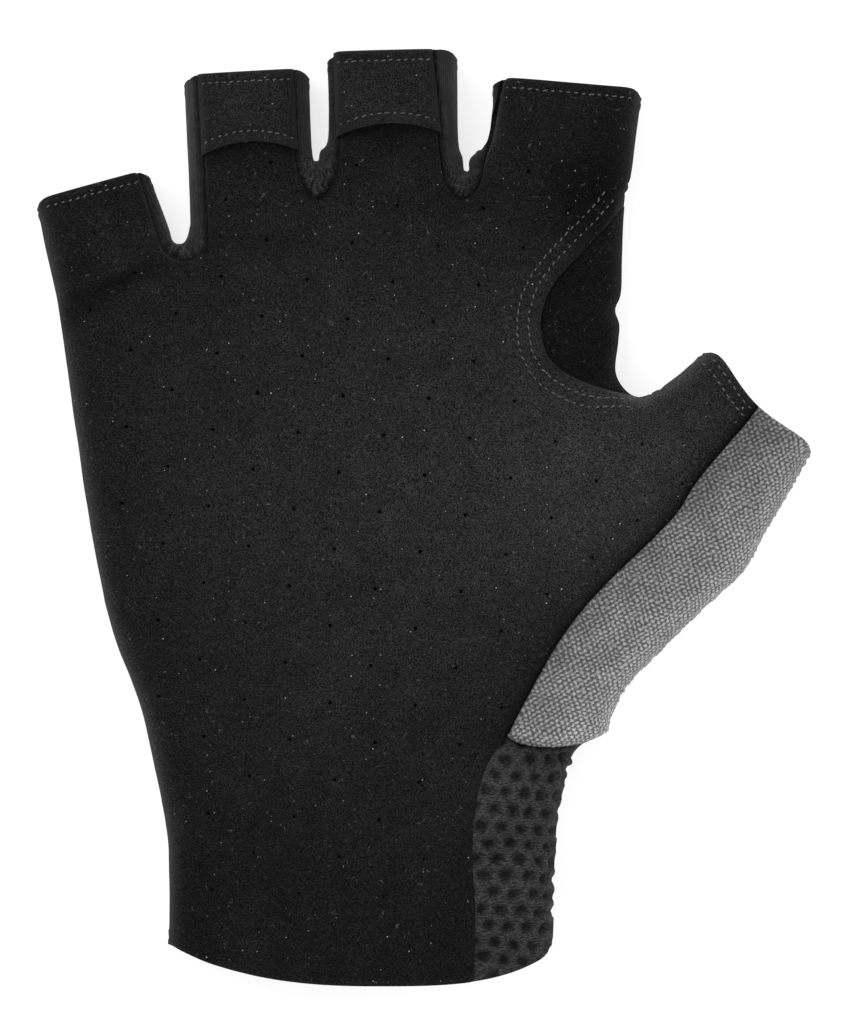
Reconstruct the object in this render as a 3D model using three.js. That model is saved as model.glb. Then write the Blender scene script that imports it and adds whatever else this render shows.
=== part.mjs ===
// Right-hand short-finger cycling glove, lying on its back with the palm up.
// +X points to the thumb side, +Y to the fingers and +Z out of the palm. Lengths are in millimetres.
// The origin is on the surface that the glove lies on, under the middle of its bounding box.
//
// The glove is one thin skin, cut along its seams into panels as it is sewn: a suede palm that
// wraps the little finger's edge, a knitted back that wraps the thumb side of the wrist, a woven
// thumb panel, a suede gusset between index finger and thumb, a stretch strip between each two
// fingers, and two folded pull tabs on the ring and middle fingers.
import * as THREE from "three";

// Driving sizes of the outline. Before the model is centred, x = 0 is the middle of the cuff
// and y = 0 the lowest point of its edge.
const PALM_LENGTH = 140;
const CUFF_WIDTH = 69;
const CUFF_SAG = 7.2;
const CUFF_LOW_SHARE = 0.6;
const CUFF_CURVE = { left: 3, right: 3 };
const CUFF_CORNER = { left: 0, right: 1.6 };
const KNUCKLE_WIDTH = 105.8;
const KNUCKLE_CENTRE = -3.9;
const CORNER_DROP = 1.7;
const CORNER_RUN = 2.4;
const THUMB_MOUTH_DENT = 1.7;

// Driving sizes of the thickness: the silhouette's height above the surface, how far the front
// rises over it on a finger and in the palm, and how far in from the silhouette it is rounded.
const EDGE_HEIGHT = 7;
const FINGER_RISE = 7.5;
const PALM_RISE = 14.5;
const FRONT_ROUND = 6.5;
const BACK_ROUND = 7;
const RISE_STARTS = 8;
const RISE_ENDS = 32;

// Driving sizes of the materials.
const SUEDE_WALL = 1.5;
const KNIT_WALL = 1.3;
const STRETCH_WALL = 1.1;
const SEAM_GAP = 0.4;
const EDGE_WRAP = 1.4;
const GUSSET_WRAP = 3;
const GUSSET_DEPTH = 16.5;

// Driving sizes of the pull tabs.
const TAB_LENGTH = 14.8;
const TABS = { ring: 0.985, middle: 1.015 };
const TAB_WALL = 1.2;
const TAB_CLEARANCE = 0.45;
const TAB_LIP_RISE = 2.6;
const TAB_LIP_ARCH = 2;
const TAB_SIDE_GAP = 0.5;
const TAB_MOUTH_GAP = 0.6;

// Widths are shares of the knuckle width, levels and lengths of the palm's length. A finger leans
// to the little finger's side, and its mouth is cut at an angle of its own, both in degrees.
const FINGERS = [
  { name: "little", root: 0.2136, level: 0.954, mouth: 0.2, length: 0.078, lean: 14.1, mouthTurn: 15.3 },
  { name: "ring", root: 0.2108, level: 0.99, mouth: 0.2138, length: 0.1836, lean: 1.7, mouthTurn: 3.2 },
  { name: "middle", root: 0.242, level: 1.05, mouth: 0.2221, length: 0.151, lean: -0.6, mouthTurn: 1.4 },
  { name: "index", root: 0.2741, level: 1.04, mouth: 0.253, length: 0.1225, lean: -11, mouthTurn: -4.9 },
];

// The thumb starts at a point past the index finger's edge.
const THUMB_WIDTH = 26.3;
const THUMB_LENGTH = 31;
const THUMB = { name: "thumb", lean: -45, mouthTurn: -44.6, out: 0.017, level: 0.598 };

// Between each two fingers: the slot's width as a share of the knuckle width, its end as a share
// of the palm's length, how far up the stretch strip bulges into it, and how far each side stands
// back above, as shares of the bulge. The seam columns say how far in from the silhouette the
// palm ends, at the left finger's mouth, beside the slot, below it, and at the right finger's
// mouth, as shares of the strip's reveal.
const SLOT_BULGE = 6;
const STRIP_REVEAL = 2.5;
const SLOTS = [
  { gap: 0.0321, level: 0.954, reach: 1.08, backLeft: 0.23, backRight: 0.02,
    seamLeft: 0.52, besideLeft: 0.48, depth: 1, besideRight: 1.2, seamRight: 1 },
  { gap: 0.0132, level: 1.06, reach: 0.75, backLeft: 0.03, backRight: 0.22,
    seamLeft: 1.08, besideLeft: 0.92, depth: 2.72, besideRight: 1.12, seamRight: 0.4 },
  { gap: 0.0142, level: 1.047, reach: 1, backLeft: 0.13, backRight: 0.5,
    seamLeft: 1.76, besideLeft: 1.2, depth: 1.92, besideRight: 0.6, seamRight: 0.36 },
];
const BACK_SEAM = { seamLeft: 0.88, besideLeft: 0.96, depth: 1.04, besideRight: 0.96, seamRight: 0.88 };

// The little finger's edge: height as a share of the palm's length, and flare from the cuff's
// corner (0) to the little finger's root (1).
const ULNAR_EDGE = [
  { up: 0.15, flare: 0 },
  { up: 0.2, flare: 0.02 },
  { up: 0.28, flare: 0.12 },
  { up: 0.36, flare: 0.23 },
  { up: 0.46, flare: 0.46 },
  { up: 0.56, flare: 0.6 },
  { up: 0.7, flare: 0.735 },
  { up: 0.87, flare: 0.885 },
];

// The index finger's edge down to the thumb: share of the way down, and how far it lies in from
// the straight line, as a share of the palm's length.
const RADIAL_EDGE = [
  { down: 0.12, in: 0.0093 },
  { down: 0.36, in: 0.0135 },
  { down: 0.53, in: 0.0163 },
  { down: 0.605, in: 0.0243 },
  { down: 0.67, in: 0.0198 },
  { down: 0.75, in: 0.0213 },
  { down: 0.88, in: 0.0268 },
  { down: 0.96, in: 0.0172 },
];
const THUMB_CROTCH = { out: 0.0104, level: 0.757 };

// The thumb's inner edge from the crotch to its mouth, as shares across and up.
const THUMB_INNER_EDGE = [
  { across: 0.26, up: 0.14 },
  { across: 0.53, up: 0.42 },
  { across: 0.83, up: 0.8 },
];

// The thumb's outer edge from the wrist hem to its mouth, as shares across and up.
const THUMB_OUTER_EDGE = [
  { across: 0.027, up: 0.043 },
  { across: 0.107, up: 0.169 },
  { across: 0.286, up: 0.311 },
  { across: 0.482, up: 0.451 },
  { across: 0.683, up: 0.591 },
  { across: 0.79, up: 0.731 },
  { across: 0.908, up: 0.876 },
];

// The wrist's thumb side from the hem down, as shares of the palm's length and the cuff's width
// beyond the cuff's corner.
const WRIST_EDGE = [
  { up: 0.305, out: 0.072 },
  { up: 0.277, out: 0.04 },
  { up: 0.251, out: 0.031 },
  { up: 0.218, out: 0.017 },
  { up: 0.16, out: 0.008 },
];
const HEM_CORNER = { out: 0.1355, level: 0.321 };

// Where palm, thumb panel and back meet on the wrist, as shares of the cuff's width and the
// palm's length, and the seams that run from there.
const WRIST_JOINT = { x: 0.389, y: 0.319 };
const PALM_TO_BACK_SEAM = [
  { x: 0.357, y: 0.303 },
  { x: 0.329, y: 0.276 },
  { x: 0.307, y: 0.236 },
  { x: 0.297, y: 0.193 },
  { x: 0.297, y: 0.148 },
  { x: 0.303, y: 0.09 },
];
const HEM_LINE = [
  { across: 0.14, up: -0.075 },
  { across: 0.45, up: -0.11 },
  { across: 0.79, up: -0.075 },
];
const PALM_TO_THUMB_SEAM = [
  { across: 0.089, up: 0.128 },
  { across: 0.218, up: 0.298 },
  { across: 0.365, up: 0.438 },
  { across: 0.579, up: 0.597 },
  { across: 0.677, up: 0.678 },
  { across: 0.739, up: 0.755 },
  { across: 0.806, up: 0.822 },
  { across: 0.88, up: 0.888 },
  { across: 0.942, up: 0.942 },
];
const THUMB_SEAM_AT_MOUTH = 0.52;
const BACK_TO_THUMB_SEAM = [
  { across: 0.6, up: 0.8 },
  { across: 0.25, up: 0.5 },
  { across: 0.02, up: 0.22 },
];
const BACK_WRIST_JOINT = { x: 0.44, y: 0.33 };

// The palm's edge over the gusset: share of the way down, and depth as a share of the gusset's.
const GUSSET_START = 0.14;
const GUSSET_SEAM = [
  { down: 0.09, in: 0.17 },
  { down: 0.2, in: 0.41 },
  { down: 0.3, in: 0.63 },
  { down: 0.41, in: 0.83 },
  { down: 0.5, in: 0.94 },
  { down: 0.6, in: 1 },
  { down: 0.7, in: 1 },
  { down: 0.79, in: 0.95 },
  { down: 0.865, in: 0.81 },
  { down: 0.91, in: 0.63 },
  { down: 0.95, in: 0.4 },
];

// Soft folds pressed into the front: the middle of each as shares of the knuckle width and the
// palm's length, its direction in degrees, its half length and half width as shares of the
// knuckle width, and its depth as a share of the deepest.
const FOLD_DEPTH = 1.5;
const FOLDS = [
  { x: -0.44, y: 0.86, turn: 17, halfLength: 0.104, halfWidth: 0.032, depth: 1 },
  { x: 0.36, y: 0.965, turn: 28, halfLength: 0.085, halfWidth: 0.047, depth: 0.6 },
  { x: 0.42, y: 0.785, turn: -14, halfLength: 0.066, halfWidth: 0.025, depth: 1 },
];

// Perforations of the palm: a staggered lattice, whose rows tilt a little and whose columns lean
// to the thumb's side both above and below its origin.
const HOLE_RADIUS = 0.4;
const HOLE_SPACING = 15.47;
const HOLE_ROW_PITCH = 6.9;
const HOLE_ROW_TILT = -1.9;
const HOLE_COLUMN_LEAN = 3.3;
const HOLE_ORIGIN = { x: 0.0147, y: 0.411 };
const HOLE_CLEARANCE = { seam: 1.9, edge: 3.4, hem: 3.2, gusset: 4.6 };
const HOLE_SIDES = 6;

// Mesh spacing.
const EDGE_STEP = 2.7;
const SLOT_STEP = 1.35;
const SEAM_STEP = 2.4;
const MOUTH_STEPS = 9;
const FRONT_ROWS = [1.3, 3.5, 6.5];
const BACK_ROWS = [1.4, 3.6, 7];
const ROW_CLEARANCE = 1.15;
const EDGE_CLEARANCE = 0.9;
const LATTICE_STEP = 6.6;
const EXTENSION = 45;

const degrees = (angle) => (angle * Math.PI) / 180;
const mix = (a, b, share) => a + (b - a) * share;
const clampShare = (value) => Math.min(1, Math.max(0, value));
const smooth = (value) => clampShare(value) ** 2 * (3 - 2 * clampShare(value));
const at = (x, y) => new THREE.Vector2(x, y);
const mixPoints = (a, b, across, up = across) => at(mix(a.x, b.x, across), mix(a.y, b.y, up));

// A finger or thumb as a frame: its mouth's middle, its direction, and the corners of its mouth,
// which lie back from the mouth's line.
function digitFrame(root, mouthWidth, length, { name, lean, mouthTurn }) {
  const along = at(0, 1).rotateAround(at(0, 0), degrees(lean));
  const across = at(1, 0).rotateAround(at(0, 0), degrees(mouthTurn));
  const middle = root.clone().addScaledVector(along, length);
  const corner = (side) =>
    middle.clone().addScaledVector(across, (side * mouthWidth) / 2).addScaledVector(along, -CORNER_DROP);
  return { name, along, across, middle, mouthWidth, left: corner(-1), right: corner(1) };
}

// The fingers stand side by side on the knuckle line, with a slot between each two.
const fingers = [];
let reached = KNUCKLE_CENTRE - KNUCKLE_WIDTH / 2;
for (const [i, finger] of FINGERS.entries()) {
  const rootWidth = finger.root * KNUCKLE_WIDTH;
  const root = at(reached + rootWidth / 2, finger.level * PALM_LENGTH);
  fingers.push({
    ...digitFrame(root, finger.mouth * KNUCKLE_WIDTH, finger.length * PALM_LENGTH, finger),
    rootLeft: reached,
    rootRight: reached + rootWidth,
    rootY: root.y,
  });
  reached += rootWidth + (SLOTS[i]?.gap ?? 0) * KNUCKLE_WIDTH;
}
const [little, , , index] = fingers;
const thumbRoot = at(index.rootRight + THUMB.out * KNUCKLE_WIDTH, THUMB.level * PALM_LENGTH);
const thumb = digitFrame(thumbRoot, THUMB_WIDTH, THUMB_LENGTH, THUMB);

// Each point of the outline belongs to a chain, an edge that runs from one mouth to the next.
function chain(points, step) {
  const curve = new THREE.SplineCurve(points);
  return curve.getSpacedPoints(Math.round(curve.getLength() / step));
}

const cuffLeft = at(-CUFF_WIDTH / 2, CUFF_SAG);
const cuffRight = at(CUFF_WIDTH / 2, CUFF_SAG);
const ulnarChain = chain(
  [
    cuffLeft,
    ...ULNAR_EDGE.map(({ up, flare }) => at(mix(cuffLeft.x, little.rootLeft, flare), up * PALM_LENGTH)),
    at(little.rootLeft, little.rootY),
    little.left,
  ],
  EDGE_STEP,
);

const slotFrames = SLOTS.map((slot, i) => ({
  ...slot,
  gap: slot.gap * KNUCKLE_WIDTH,
  reach: slot.reach * SLOT_BULGE,
  leftFinger: fingers[i],
  rightFinger: fingers[i + 1],
  left: fingers[i].rootRight,
  right: fingers[i + 1].rootLeft,
  bottom: slot.level * PALM_LENGTH,
}));
const slotChains = slotFrames.map((slot) =>
  chain(
    [
      slot.leftFinger.right,
      at(slot.left - slot.backLeft * SLOT_BULGE, slot.bottom + slot.reach),
      at(slot.left, slot.bottom + slot.reach * 0.4),
      at(mix(slot.left, slot.right, 0.2), slot.bottom + slot.gap * 0.15),
      at(mix(slot.left, slot.right, 0.5), slot.bottom),
      at(mix(slot.left, slot.right, 0.8), slot.bottom + slot.gap * 0.15),
      at(slot.right, slot.bottom + slot.reach * 0.4),
      at(slot.right + slot.backRight * SLOT_BULGE, slot.bottom + slot.reach),
      slot.rightFinger.left,
    ],
    SLOT_STEP,
  ),
);

const thumbCrotch = at(index.rootRight + THUMB_CROTCH.out * KNUCKLE_WIDTH, THUMB_CROTCH.level * PALM_LENGTH);
const radialRoot = at(index.rootRight, index.rootY);
const radialPoint = (down, inward) =>
  at(mix(radialRoot.x, thumbCrotch.x, down) - inward, mix(radialRoot.y, thumbCrotch.y, down));
const crotchChain = chain(
  [
    index.right,
    radialRoot,
    ...RADIAL_EDGE.map((row) => radialPoint(row.down, row.in * PALM_LENGTH)),
    thumbCrotch,
    ...THUMB_INNER_EDGE.map(({ across, up }) => mixPoints(thumbCrotch, thumb.left, across, up)),
    thumb.left,
  ],
  EDGE_STEP,
);

const hemCorner = at(CUFF_WIDTH * (0.5 + HEM_CORNER.out), HEM_CORNER.level * PALM_LENGTH);
const thumbOuterChain = chain(
  [
    thumb.right,
    ...THUMB_OUTER_EDGE.map(({ across, up }) => mixPoints(hemCorner, thumb.right, across, up)).reverse(),
    hemCorner,
  ],
  EDGE_STEP,
);
const wristChain = chain(
  [
    hemCorner,
    ...WRIST_EDGE.map(({ up, out }) => at(CUFF_WIDTH * (0.5 + out), up * PALM_LENGTH)),
    cuffRight,
  ],
  EDGE_STEP,
);
const outerChain = [...thumbOuterChain, ...wristChain.slice(1)];
const chains = [ulnarChain, ...slotChains, crotchChain, outerChain];

// A mouth's edge: straight between its corners, which lie back a little, or dented in its middle.
function mouthPoint(digit, share) {
  const fromCorner = Math.min(share, 1 - share) * digit.mouthWidth;
  const back = CORNER_DROP * (1 - Math.sqrt(1 - (1 - clampShare(fromCorner / CORNER_RUN)) ** 2));
  const drop = CORNER_DROP - back;
  const dent = digit === thumb ? THUMB_MOUTH_DENT * Math.sin(Math.PI * share) ** 2 : 0;
  return mixPoints(digit.left, digit.right, share).addScaledVector(digit.along, drop - dent);
}

// The cuff's edge hangs lowest near its middle.
function cuffPoint(share) {
  const isLeft = share < CUFF_LOW_SHARE;
  const fromLowest = (share - CUFF_LOW_SHARE) / (isLeft ? -CUFF_LOW_SHARE : 1 - CUFF_LOW_SHARE);
  const curve = isLeft ? CUFF_CURVE.left : CUFF_CURVE.right;
  const corner = isLeft ? CUFF_CORNER.left : CUFF_CORNER.right;
  const fromCorner = Math.min(share, 1 - share) * CUFF_WIDTH;
  const rise = (CUFF_SAG - corner) * fromLowest ** curve + corner * (1 - dome(fromCorner / CORNER_RUN));
  return at(mix(cuffLeft.x, cuffRight.x, share), rise);
}

// Where a mouth is sampled: evenly, close to its corners, and where seams end on it.
function mouthShares(width, seams, count) {
  const even = Array.from({ length: count - 1 }, (_, i) => (i + 1) / count);
  const nearCorner = [0.25, 0.6].map((run) => (run * CORNER_RUN) / width);
  const cornerShares = nearCorner.flatMap((share) => [share, 1 - share]);
  const shares = [...seams];
  for (const share of [...cornerShares, ...even])
    if (shares.every((other) => Math.abs(other - share) * width > 0.55)) shares.push(share);
  return shares.sort((a, b) => a - b);
}

// The smoothed distance to the outline's edges. Mouths count as open: the edges run on past them.
const segments = [];
const beyond = (corner, direction, reach) => corner.clone().addScaledVector(direction, reach);
const down = at(0, -1);
function addSegments(points, startWay, endWay) {
  const all = [beyond(points[0], startWay, EXTENSION), ...points, beyond(points.at(-1), endWay, EXTENSION)];
  for (let i = 1; i < all.length; i++) segments.push([all[i - 1], all[i]]);
}
addSegments(ulnarChain, down, little.along);
slotChains.forEach((points, i) => addSegments(points, fingers[i].along, fingers[i + 1].along));
addSegments(crotchChain, index.along, thumb.along);
addSegments(outerChain, thumb.along, down);

// For a straight edge this is the distance itself. It is the edge's inverse-cube integral.
function edgeDistance(point) {
  let sum = 0;
  for (const [a, b] of segments) {
    const length = a.distanceTo(b);
    const along = ((point.x - a.x) * (b.x - a.x) + (point.y - a.y) * (b.y - a.y)) / length;
    const aside = ((point.x - a.x) * (b.y - a.y) - (point.y - a.y) * (b.x - a.x)) / length;
    const square = Math.max(aside * aside, 1e-6);
    const far = length - along;
    sum += (far / Math.sqrt(square + far * far) + along / Math.sqrt(square + along * along)) / square;
  }
  return Math.sqrt(2 / sum);
}

const dome = (share) => Math.sqrt(1 - (1 - clampShare(share)) ** 2);

function foldDepth(point) {
  let depth = 0;
  for (const fold of FOLDS) {
    const offset = at(point.x - KNUCKLE_CENTRE - fold.x * KNUCKLE_WIDTH, point.y - fold.y * PALM_LENGTH);
    offset.rotateAround(at(0, 0), -degrees(fold.turn));
    const along = offset.x / (fold.halfLength * KNUCKLE_WIDTH);
    const aside = offset.y / (fold.halfWidth * KNUCKLE_WIDTH);
    depth += fold.depth * FOLD_DEPTH * Math.exp(-along * along - aside * aside);
  }
  return depth;
}

function frontHeight(point) {
  const distance = edgeDistance(point);
  const rise = mix(FINGER_RISE, PALM_RISE, smooth((distance - RISE_STARTS) / (RISE_ENDS - RISE_STARTS)));
  const round = dome(distance / FRONT_ROUND);
  return EDGE_HEIGHT + rise * round - foldDepth(point) * round;
}

const backHeight = (point) => EDGE_HEIGHT * (1 - dome(edgeDistance(point) / BACK_ROUND));

// Seams. A slot's seam runs down beside it, round below it in half an ellipse, and up again.
function slotSeam(slot, reveal) {
  const hip = slot.bottom + slot.reach * 0.15;
  const left = slot.left - reveal.besideLeft * STRIP_REVEAL;
  const right = slot.right + reveal.besideRight * STRIP_REVEAL;
  const middle = (left + right) / 2;
  const below = Array.from({ length: 7 }, (_, i) => {
    const angle = (Math.PI * i) / 6;
    return at(
      middle - ((right - left) / 2) * Math.cos(angle),
      hip - (reveal.depth * STRIP_REVEAL + hip - slot.bottom) * Math.sin(angle),
    );
  });
  const leftShare = 1 - (reveal.seamLeft * STRIP_REVEAL) / slot.leftFinger.mouthWidth;
  const rightShare = (reveal.seamRight * STRIP_REVEAL) / slot.rightFinger.mouthWidth;
  const points = [
    mouthPoint(slot.leftFinger, leftShare),
    ...below,
    mouthPoint(slot.rightFinger, rightShare),
  ];
  return { points: chain(points, SEAM_STEP * 0.75), leftShare, rightShare };
}

const nearest = (points, target) =>
  points.reduce((best, p, i) => (p.distanceTo(target) < points[best].distanceTo(target) ? i : best), 0);

// A row of points beside a chain, always to the inside of the glove.
function inset(points, distance) {
  return points.map((p, i) => {
    const next = points[Math.min(i + 1, points.length - 1)];
    const way = next.clone().sub(points[Math.max(i - 1, 0)]).normalize();
    return p.clone().add(at(way.y, -way.x).multiplyScalar(distance));
  });
}

const shareOfCuff = ({ x, y }) => at(x * CUFF_WIDTH, y * PALM_LENGTH);
const wristJoint = shareOfCuff(WRIST_JOINT);
const thumbSeamEnd = mouthPoint(thumb, THUMB_SEAM_AT_MOUTH);
const seamCuffShare = 0.5 + 0.3;
const palmToBackSeam = chain(
  [wristJoint, ...PALM_TO_BACK_SEAM.map(shareOfCuff), cuffPoint(seamCuffShare)],
  SEAM_STEP,
);
const palmToThumbSeam = chain(
  [
    wristJoint,
    ...PALM_TO_THUMB_SEAM.map(({ across, up }) => mixPoints(wristJoint, thumbSeamEnd, across, up)),
    thumbSeamEnd,
  ],
  SEAM_STEP,
);
const hemWidth = hemCorner.x - wristJoint.x;
const hemSeam = chain(
  [
    wristJoint,
    ...HEM_LINE.map(({ across, up }) => at(wristJoint.x + across * hemWidth, wristJoint.y + up * hemWidth)),
    hemCorner,
  ],
  SEAM_STEP,
);

const gussetTop = nearest(crotchChain, radialPoint(GUSSET_START, 0));
const gussetEnd = nearest(crotchChain, thumbCrotch);
const gussetSeam = chain(
  [
    crotchChain[gussetTop],
    ...GUSSET_SEAM.map((row) =>
      mixPoints(crotchChain[gussetTop], crotchChain[gussetEnd], row.down).add(at(-row.in * GUSSET_DEPTH, 0)),
    ),
    crotchChain[gussetEnd],
  ],
  SEAM_STEP,
);
const gussetEdge = crotchChain.slice(gussetTop, gussetEnd + 1);

const backWristJoint = shareOfCuff(BACK_WRIST_JOINT);
const backToThumbSeam = chain(
  [
    crotchChain[gussetEnd],
    ...BACK_TO_THUMB_SEAM.map(({ across, up }) => mixPoints(backWristJoint, thumbCrotch, across, up)),
    backWristJoint,
  ],
  SEAM_STEP,
);
const backHemSeam = chain([backWristJoint, mixPoints(backWristJoint, hemCorner, 0.5), hemCorner], SEAM_STEP);

// The outer skin's two sides. Each lists its seams, its rounded rows, and which panel a point
// belongs to. A panel's region may reach past the outline, because only points inside it count.
const frontSlotSeams = slotFrames.map((slot) => slotSeam(slot, slot));
const backSlotSeams = slotFrames.map((slot) => slotSeam(slot, BACK_SEAM));
const slotRegions = (seams) =>
  seams.map(({ points }, i) => ({
    panel: `stretch_strip_${fingers[i].name}_${fingers[i + 1].name}`,
    outline: [
      beyond(slotChains[i][0], fingers[i].along, CORNER_DROP * 2),
      ...slotChains[i],
      beyond(slotChains[i].at(-1), fingers[i + 1].along, CORNER_DROP * 2),
      beyond(points.at(-1), fingers[i + 1].along, CORNER_DROP),
      ...points.slice().reverse(),
      beyond(points[0], fingers[i].along, CORNER_DROP),
    ],
  }));
const thumbOutside = [
  beyond(hemCorner, at(1, -1), 1),
  ...thumbOuterChain.slice().reverse(),
  beyond(thumb.right, thumb.along, 2 * CORNER_DROP),
];
const wrapSeam = (points) => inset(points, EDGE_WRAP);
const thumbInnerEdge = crotchChain.slice(gussetEnd);
const indexOuterEdge = crotchChain.slice(0, gussetTop + 1);
const gussetWrapSeam = inset(gussetEdge, GUSSET_WRAP);
gussetWrapSeam[0] = gussetEdge[0];
gussetWrapSeam[gussetWrapSeam.length - 1] = gussetEdge.at(-1);
const wrapRegion = (points, startWay, endWay) => ({
  panel: "palm_panel",
  outline: [
    beyond(points[0], startWay, 2 * CORNER_DROP),
    ...points,
    beyond(points.at(-1), endWay, 2 * CORNER_DROP),
    beyond(wrapSeam(points).at(-1), endWay, 2 * CORNER_DROP),
    ...wrapSeam(points).reverse(),
    beyond(wrapSeam(points)[0], startWay, 2 * CORNER_DROP),
  ],
});

const front = {
  height: frontHeight,
  rows: FRONT_ROWS,
  rest: "palm_panel",
  pierced: true,
  seams: [...frontSlotSeams.map((s) => s.points), palmToBackSeam, palmToThumbSeam, hemSeam, gussetSeam],
  shares: (digit, i) => [
    ...(digit === thumb ? [THUMB_SEAM_AT_MOUTH] : []),
    ...(frontSlotSeams[i] ? [frontSlotSeams[i].leftShare] : []),
    ...(frontSlotSeams[i - 1] ? [frontSlotSeams[i - 1].rightShare] : []),
  ],
  cuffShares: [seamCuffShare],
  regions: [
    ...slotRegions(frontSlotSeams),
    { panel: "thumb_gusset", outline: [...gussetSeam, ...gussetEdge.slice(1, -1).reverse()] },
    {
      panel: "thumb_panel",
      outline: [
        ...hemSeam,
        ...thumbOutside.slice(1),
        beyond(thumbSeamEnd, thumb.along, 2 * CORNER_DROP),
        ...palmToThumbSeam.slice().reverse(),
      ],
    },
    {
      panel: "back_panel",
      outline: [
        ...palmToBackSeam,
        beyond(palmToBackSeam.at(-1), down, CORNER_DROP),
        beyond(cuffRight, down, CUFF_SAG),
        ...wristChain.slice().reverse(),
        ...hemSeam.slice().reverse(),
      ],
    },
  ],
};

const back = {
  height: backHeight,
  rows: BACK_ROWS,
  rest: "back_panel",
  seams: [
    ...backSlotSeams.map((s) => s.points),
    wrapSeam(ulnarChain),
    wrapSeam(indexOuterEdge).slice(0, -1),
    gussetWrapSeam,
    wrapSeam(thumbInnerEdge).slice(1),
    backToThumbSeam,
    backHemSeam,
  ],
  shares: (digit, i) => [
    ...(digit === thumb ? [EDGE_WRAP / thumb.mouthWidth] : []),
    ...(digit === little ? [EDGE_WRAP / little.mouthWidth] : []),
    ...(digit === index ? [1 - EDGE_WRAP / index.mouthWidth] : []),
    ...(backSlotSeams[i] ? [backSlotSeams[i].leftShare] : []),
    ...(backSlotSeams[i - 1] ? [backSlotSeams[i - 1].rightShare] : []),
  ],
  cuffShares: [EDGE_WRAP / CUFF_WIDTH],
  regions: [
    ...slotRegions(backSlotSeams),
    wrapRegion(ulnarChain, down, little.along),
    wrapRegion(indexOuterEdge, index.along, at(0, 0)),
    wrapRegion(thumbInnerEdge, at(0, 0), thumb.along),
    { panel: "thumb_gusset", outline: [...gussetWrapSeam, ...gussetEdge.slice(1, -1).reverse()] },
    {
      panel: "thumb_panel",
      outline: [
        ...backToThumbSeam,
        ...backHemSeam.slice(1),
        ...thumbOutside.slice(1),
        beyond(thumb.left, thumb.along, 2 * CORNER_DROP),
        ...thumbInnerEdge.slice().reverse(),
      ],
    },
  ],
};

function isInside(outline, point) {
  let inside = false;
  for (let i = 0, j = outline.length - 1; i < outline.length; j = i++) {
    const a = outline[i];
    const b = outline[j];
    if (a.y > point.y !== b.y > point.y && point.x < ((b.x - a.x) * (point.y - a.y)) / (b.y - a.y) + a.x)
      inside = !inside;
  }
  return inside;
}

function segmentDistance(point, a, b) {
  const way = b.clone().sub(a);
  const share = clampShare(point.clone().sub(a).dot(way) / Math.max(way.lengthSq(), 1e-9));
  return point.distanceTo(a.clone().addScaledVector(way, share));
}

const pathDistance = (point, path) =>
  path.slice(1).reduce((least, b, i) => Math.min(least, segmentDistance(point, path[i], b)), Infinity);

// The point of a path that lies that far from its start.
function pointAlong(path, distance) {
  let rest = distance;
  for (let i = 1; i < path.length; i++) {
    const length = path[i].distanceTo(path[i - 1]);
    if (rest <= length) return mixPoints(path[i - 1], path[i], rest / length);
    rest -= length;
  }
  return path.at(-1).clone();
}

// A pull tab is a strap over the finger's front, from its mouth to a lip that stands off in the
// middle. Its sides run beside the finger's two seams.
function tabPoint(finger, side, down) {
  const i = fingers.indexOf(finger);
  const length = TABS[finger.name] * TAB_LENGTH - TAB_LIP_ARCH * (1 - side * side);
  const fromMouth = TAB_MOUTH_GAP + down * length;
  const left = pointAlong(frontSlotSeams[i - 1].points.slice().reverse(), fromMouth);
  const right = pointAlong(frontSlotSeams[i].points, fromMouth);
  const gap = TAB_SIDE_GAP / left.distanceTo(right);
  return mixPoints(left, right, mix(gap, 1 - gap, (side + 1) / 2));
}

const tabOutline = (finger) => [
  tabPoint(finger, -1, 0),
  tabPoint(finger, 1, 0),
  tabPoint(finger, 1, 1),
  tabPoint(finger, -1, 1),
];

// The middles of the perforations: those of the lattice that lie clear of seams, hems, edges and
// pull tabs.
function perforations(side, outline, mouths) {
  const row = at(HOLE_SPACING, 0).rotateAround(at(0, 0), degrees(HOLE_ROW_TILT));
  const lean = Math.tan(degrees(HOLE_COLUMN_LEAN));
  const origin = at(HOLE_ORIGIN.x * PALM_LENGTH, HOLE_ORIGIN.y * PALM_LENGTH);
  const tabs = fingers.flatMap((finger) => (TABS[finger.name] ? [tabOutline(finger)] : []));
  const middles = [];
  const most = Math.ceil(PALM_LENGTH / HOLE_ROW_PITCH);
  for (let i = -most; i <= most; i++)
    for (let j = -most; j <= most; j++) {
      if ((i + j) % 2 !== 0) continue;
      const rise = j * HOLE_ROW_PITCH;
      const p = origin.clone().addScaledVector(row, i / 2).add(at(Math.abs(rise) * lean, rise));
      if (!isInside(outline, p) || side.regions.some((region) => isInside(region.outline, p))) continue;
      if (tabs.some((tab) => isInside(tab, p))) continue;
      if (chains.some((points) => pathDistance(p, points) < HOLE_CLEARANCE.edge)) continue;
      if (side.seams.some((seam) => pathDistance(p, seam) < HOLE_CLEARANCE.seam)) continue;
      if (pathDistance(p, gussetSeam) < HOLE_CLEARANCE.gusset) continue;
      if (mouths.some((mouth) => pathDistance(p, mouth) < HOLE_CLEARANCE.hem)) continue;
      middles.push(p);
    }
  return middles;
}

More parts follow.
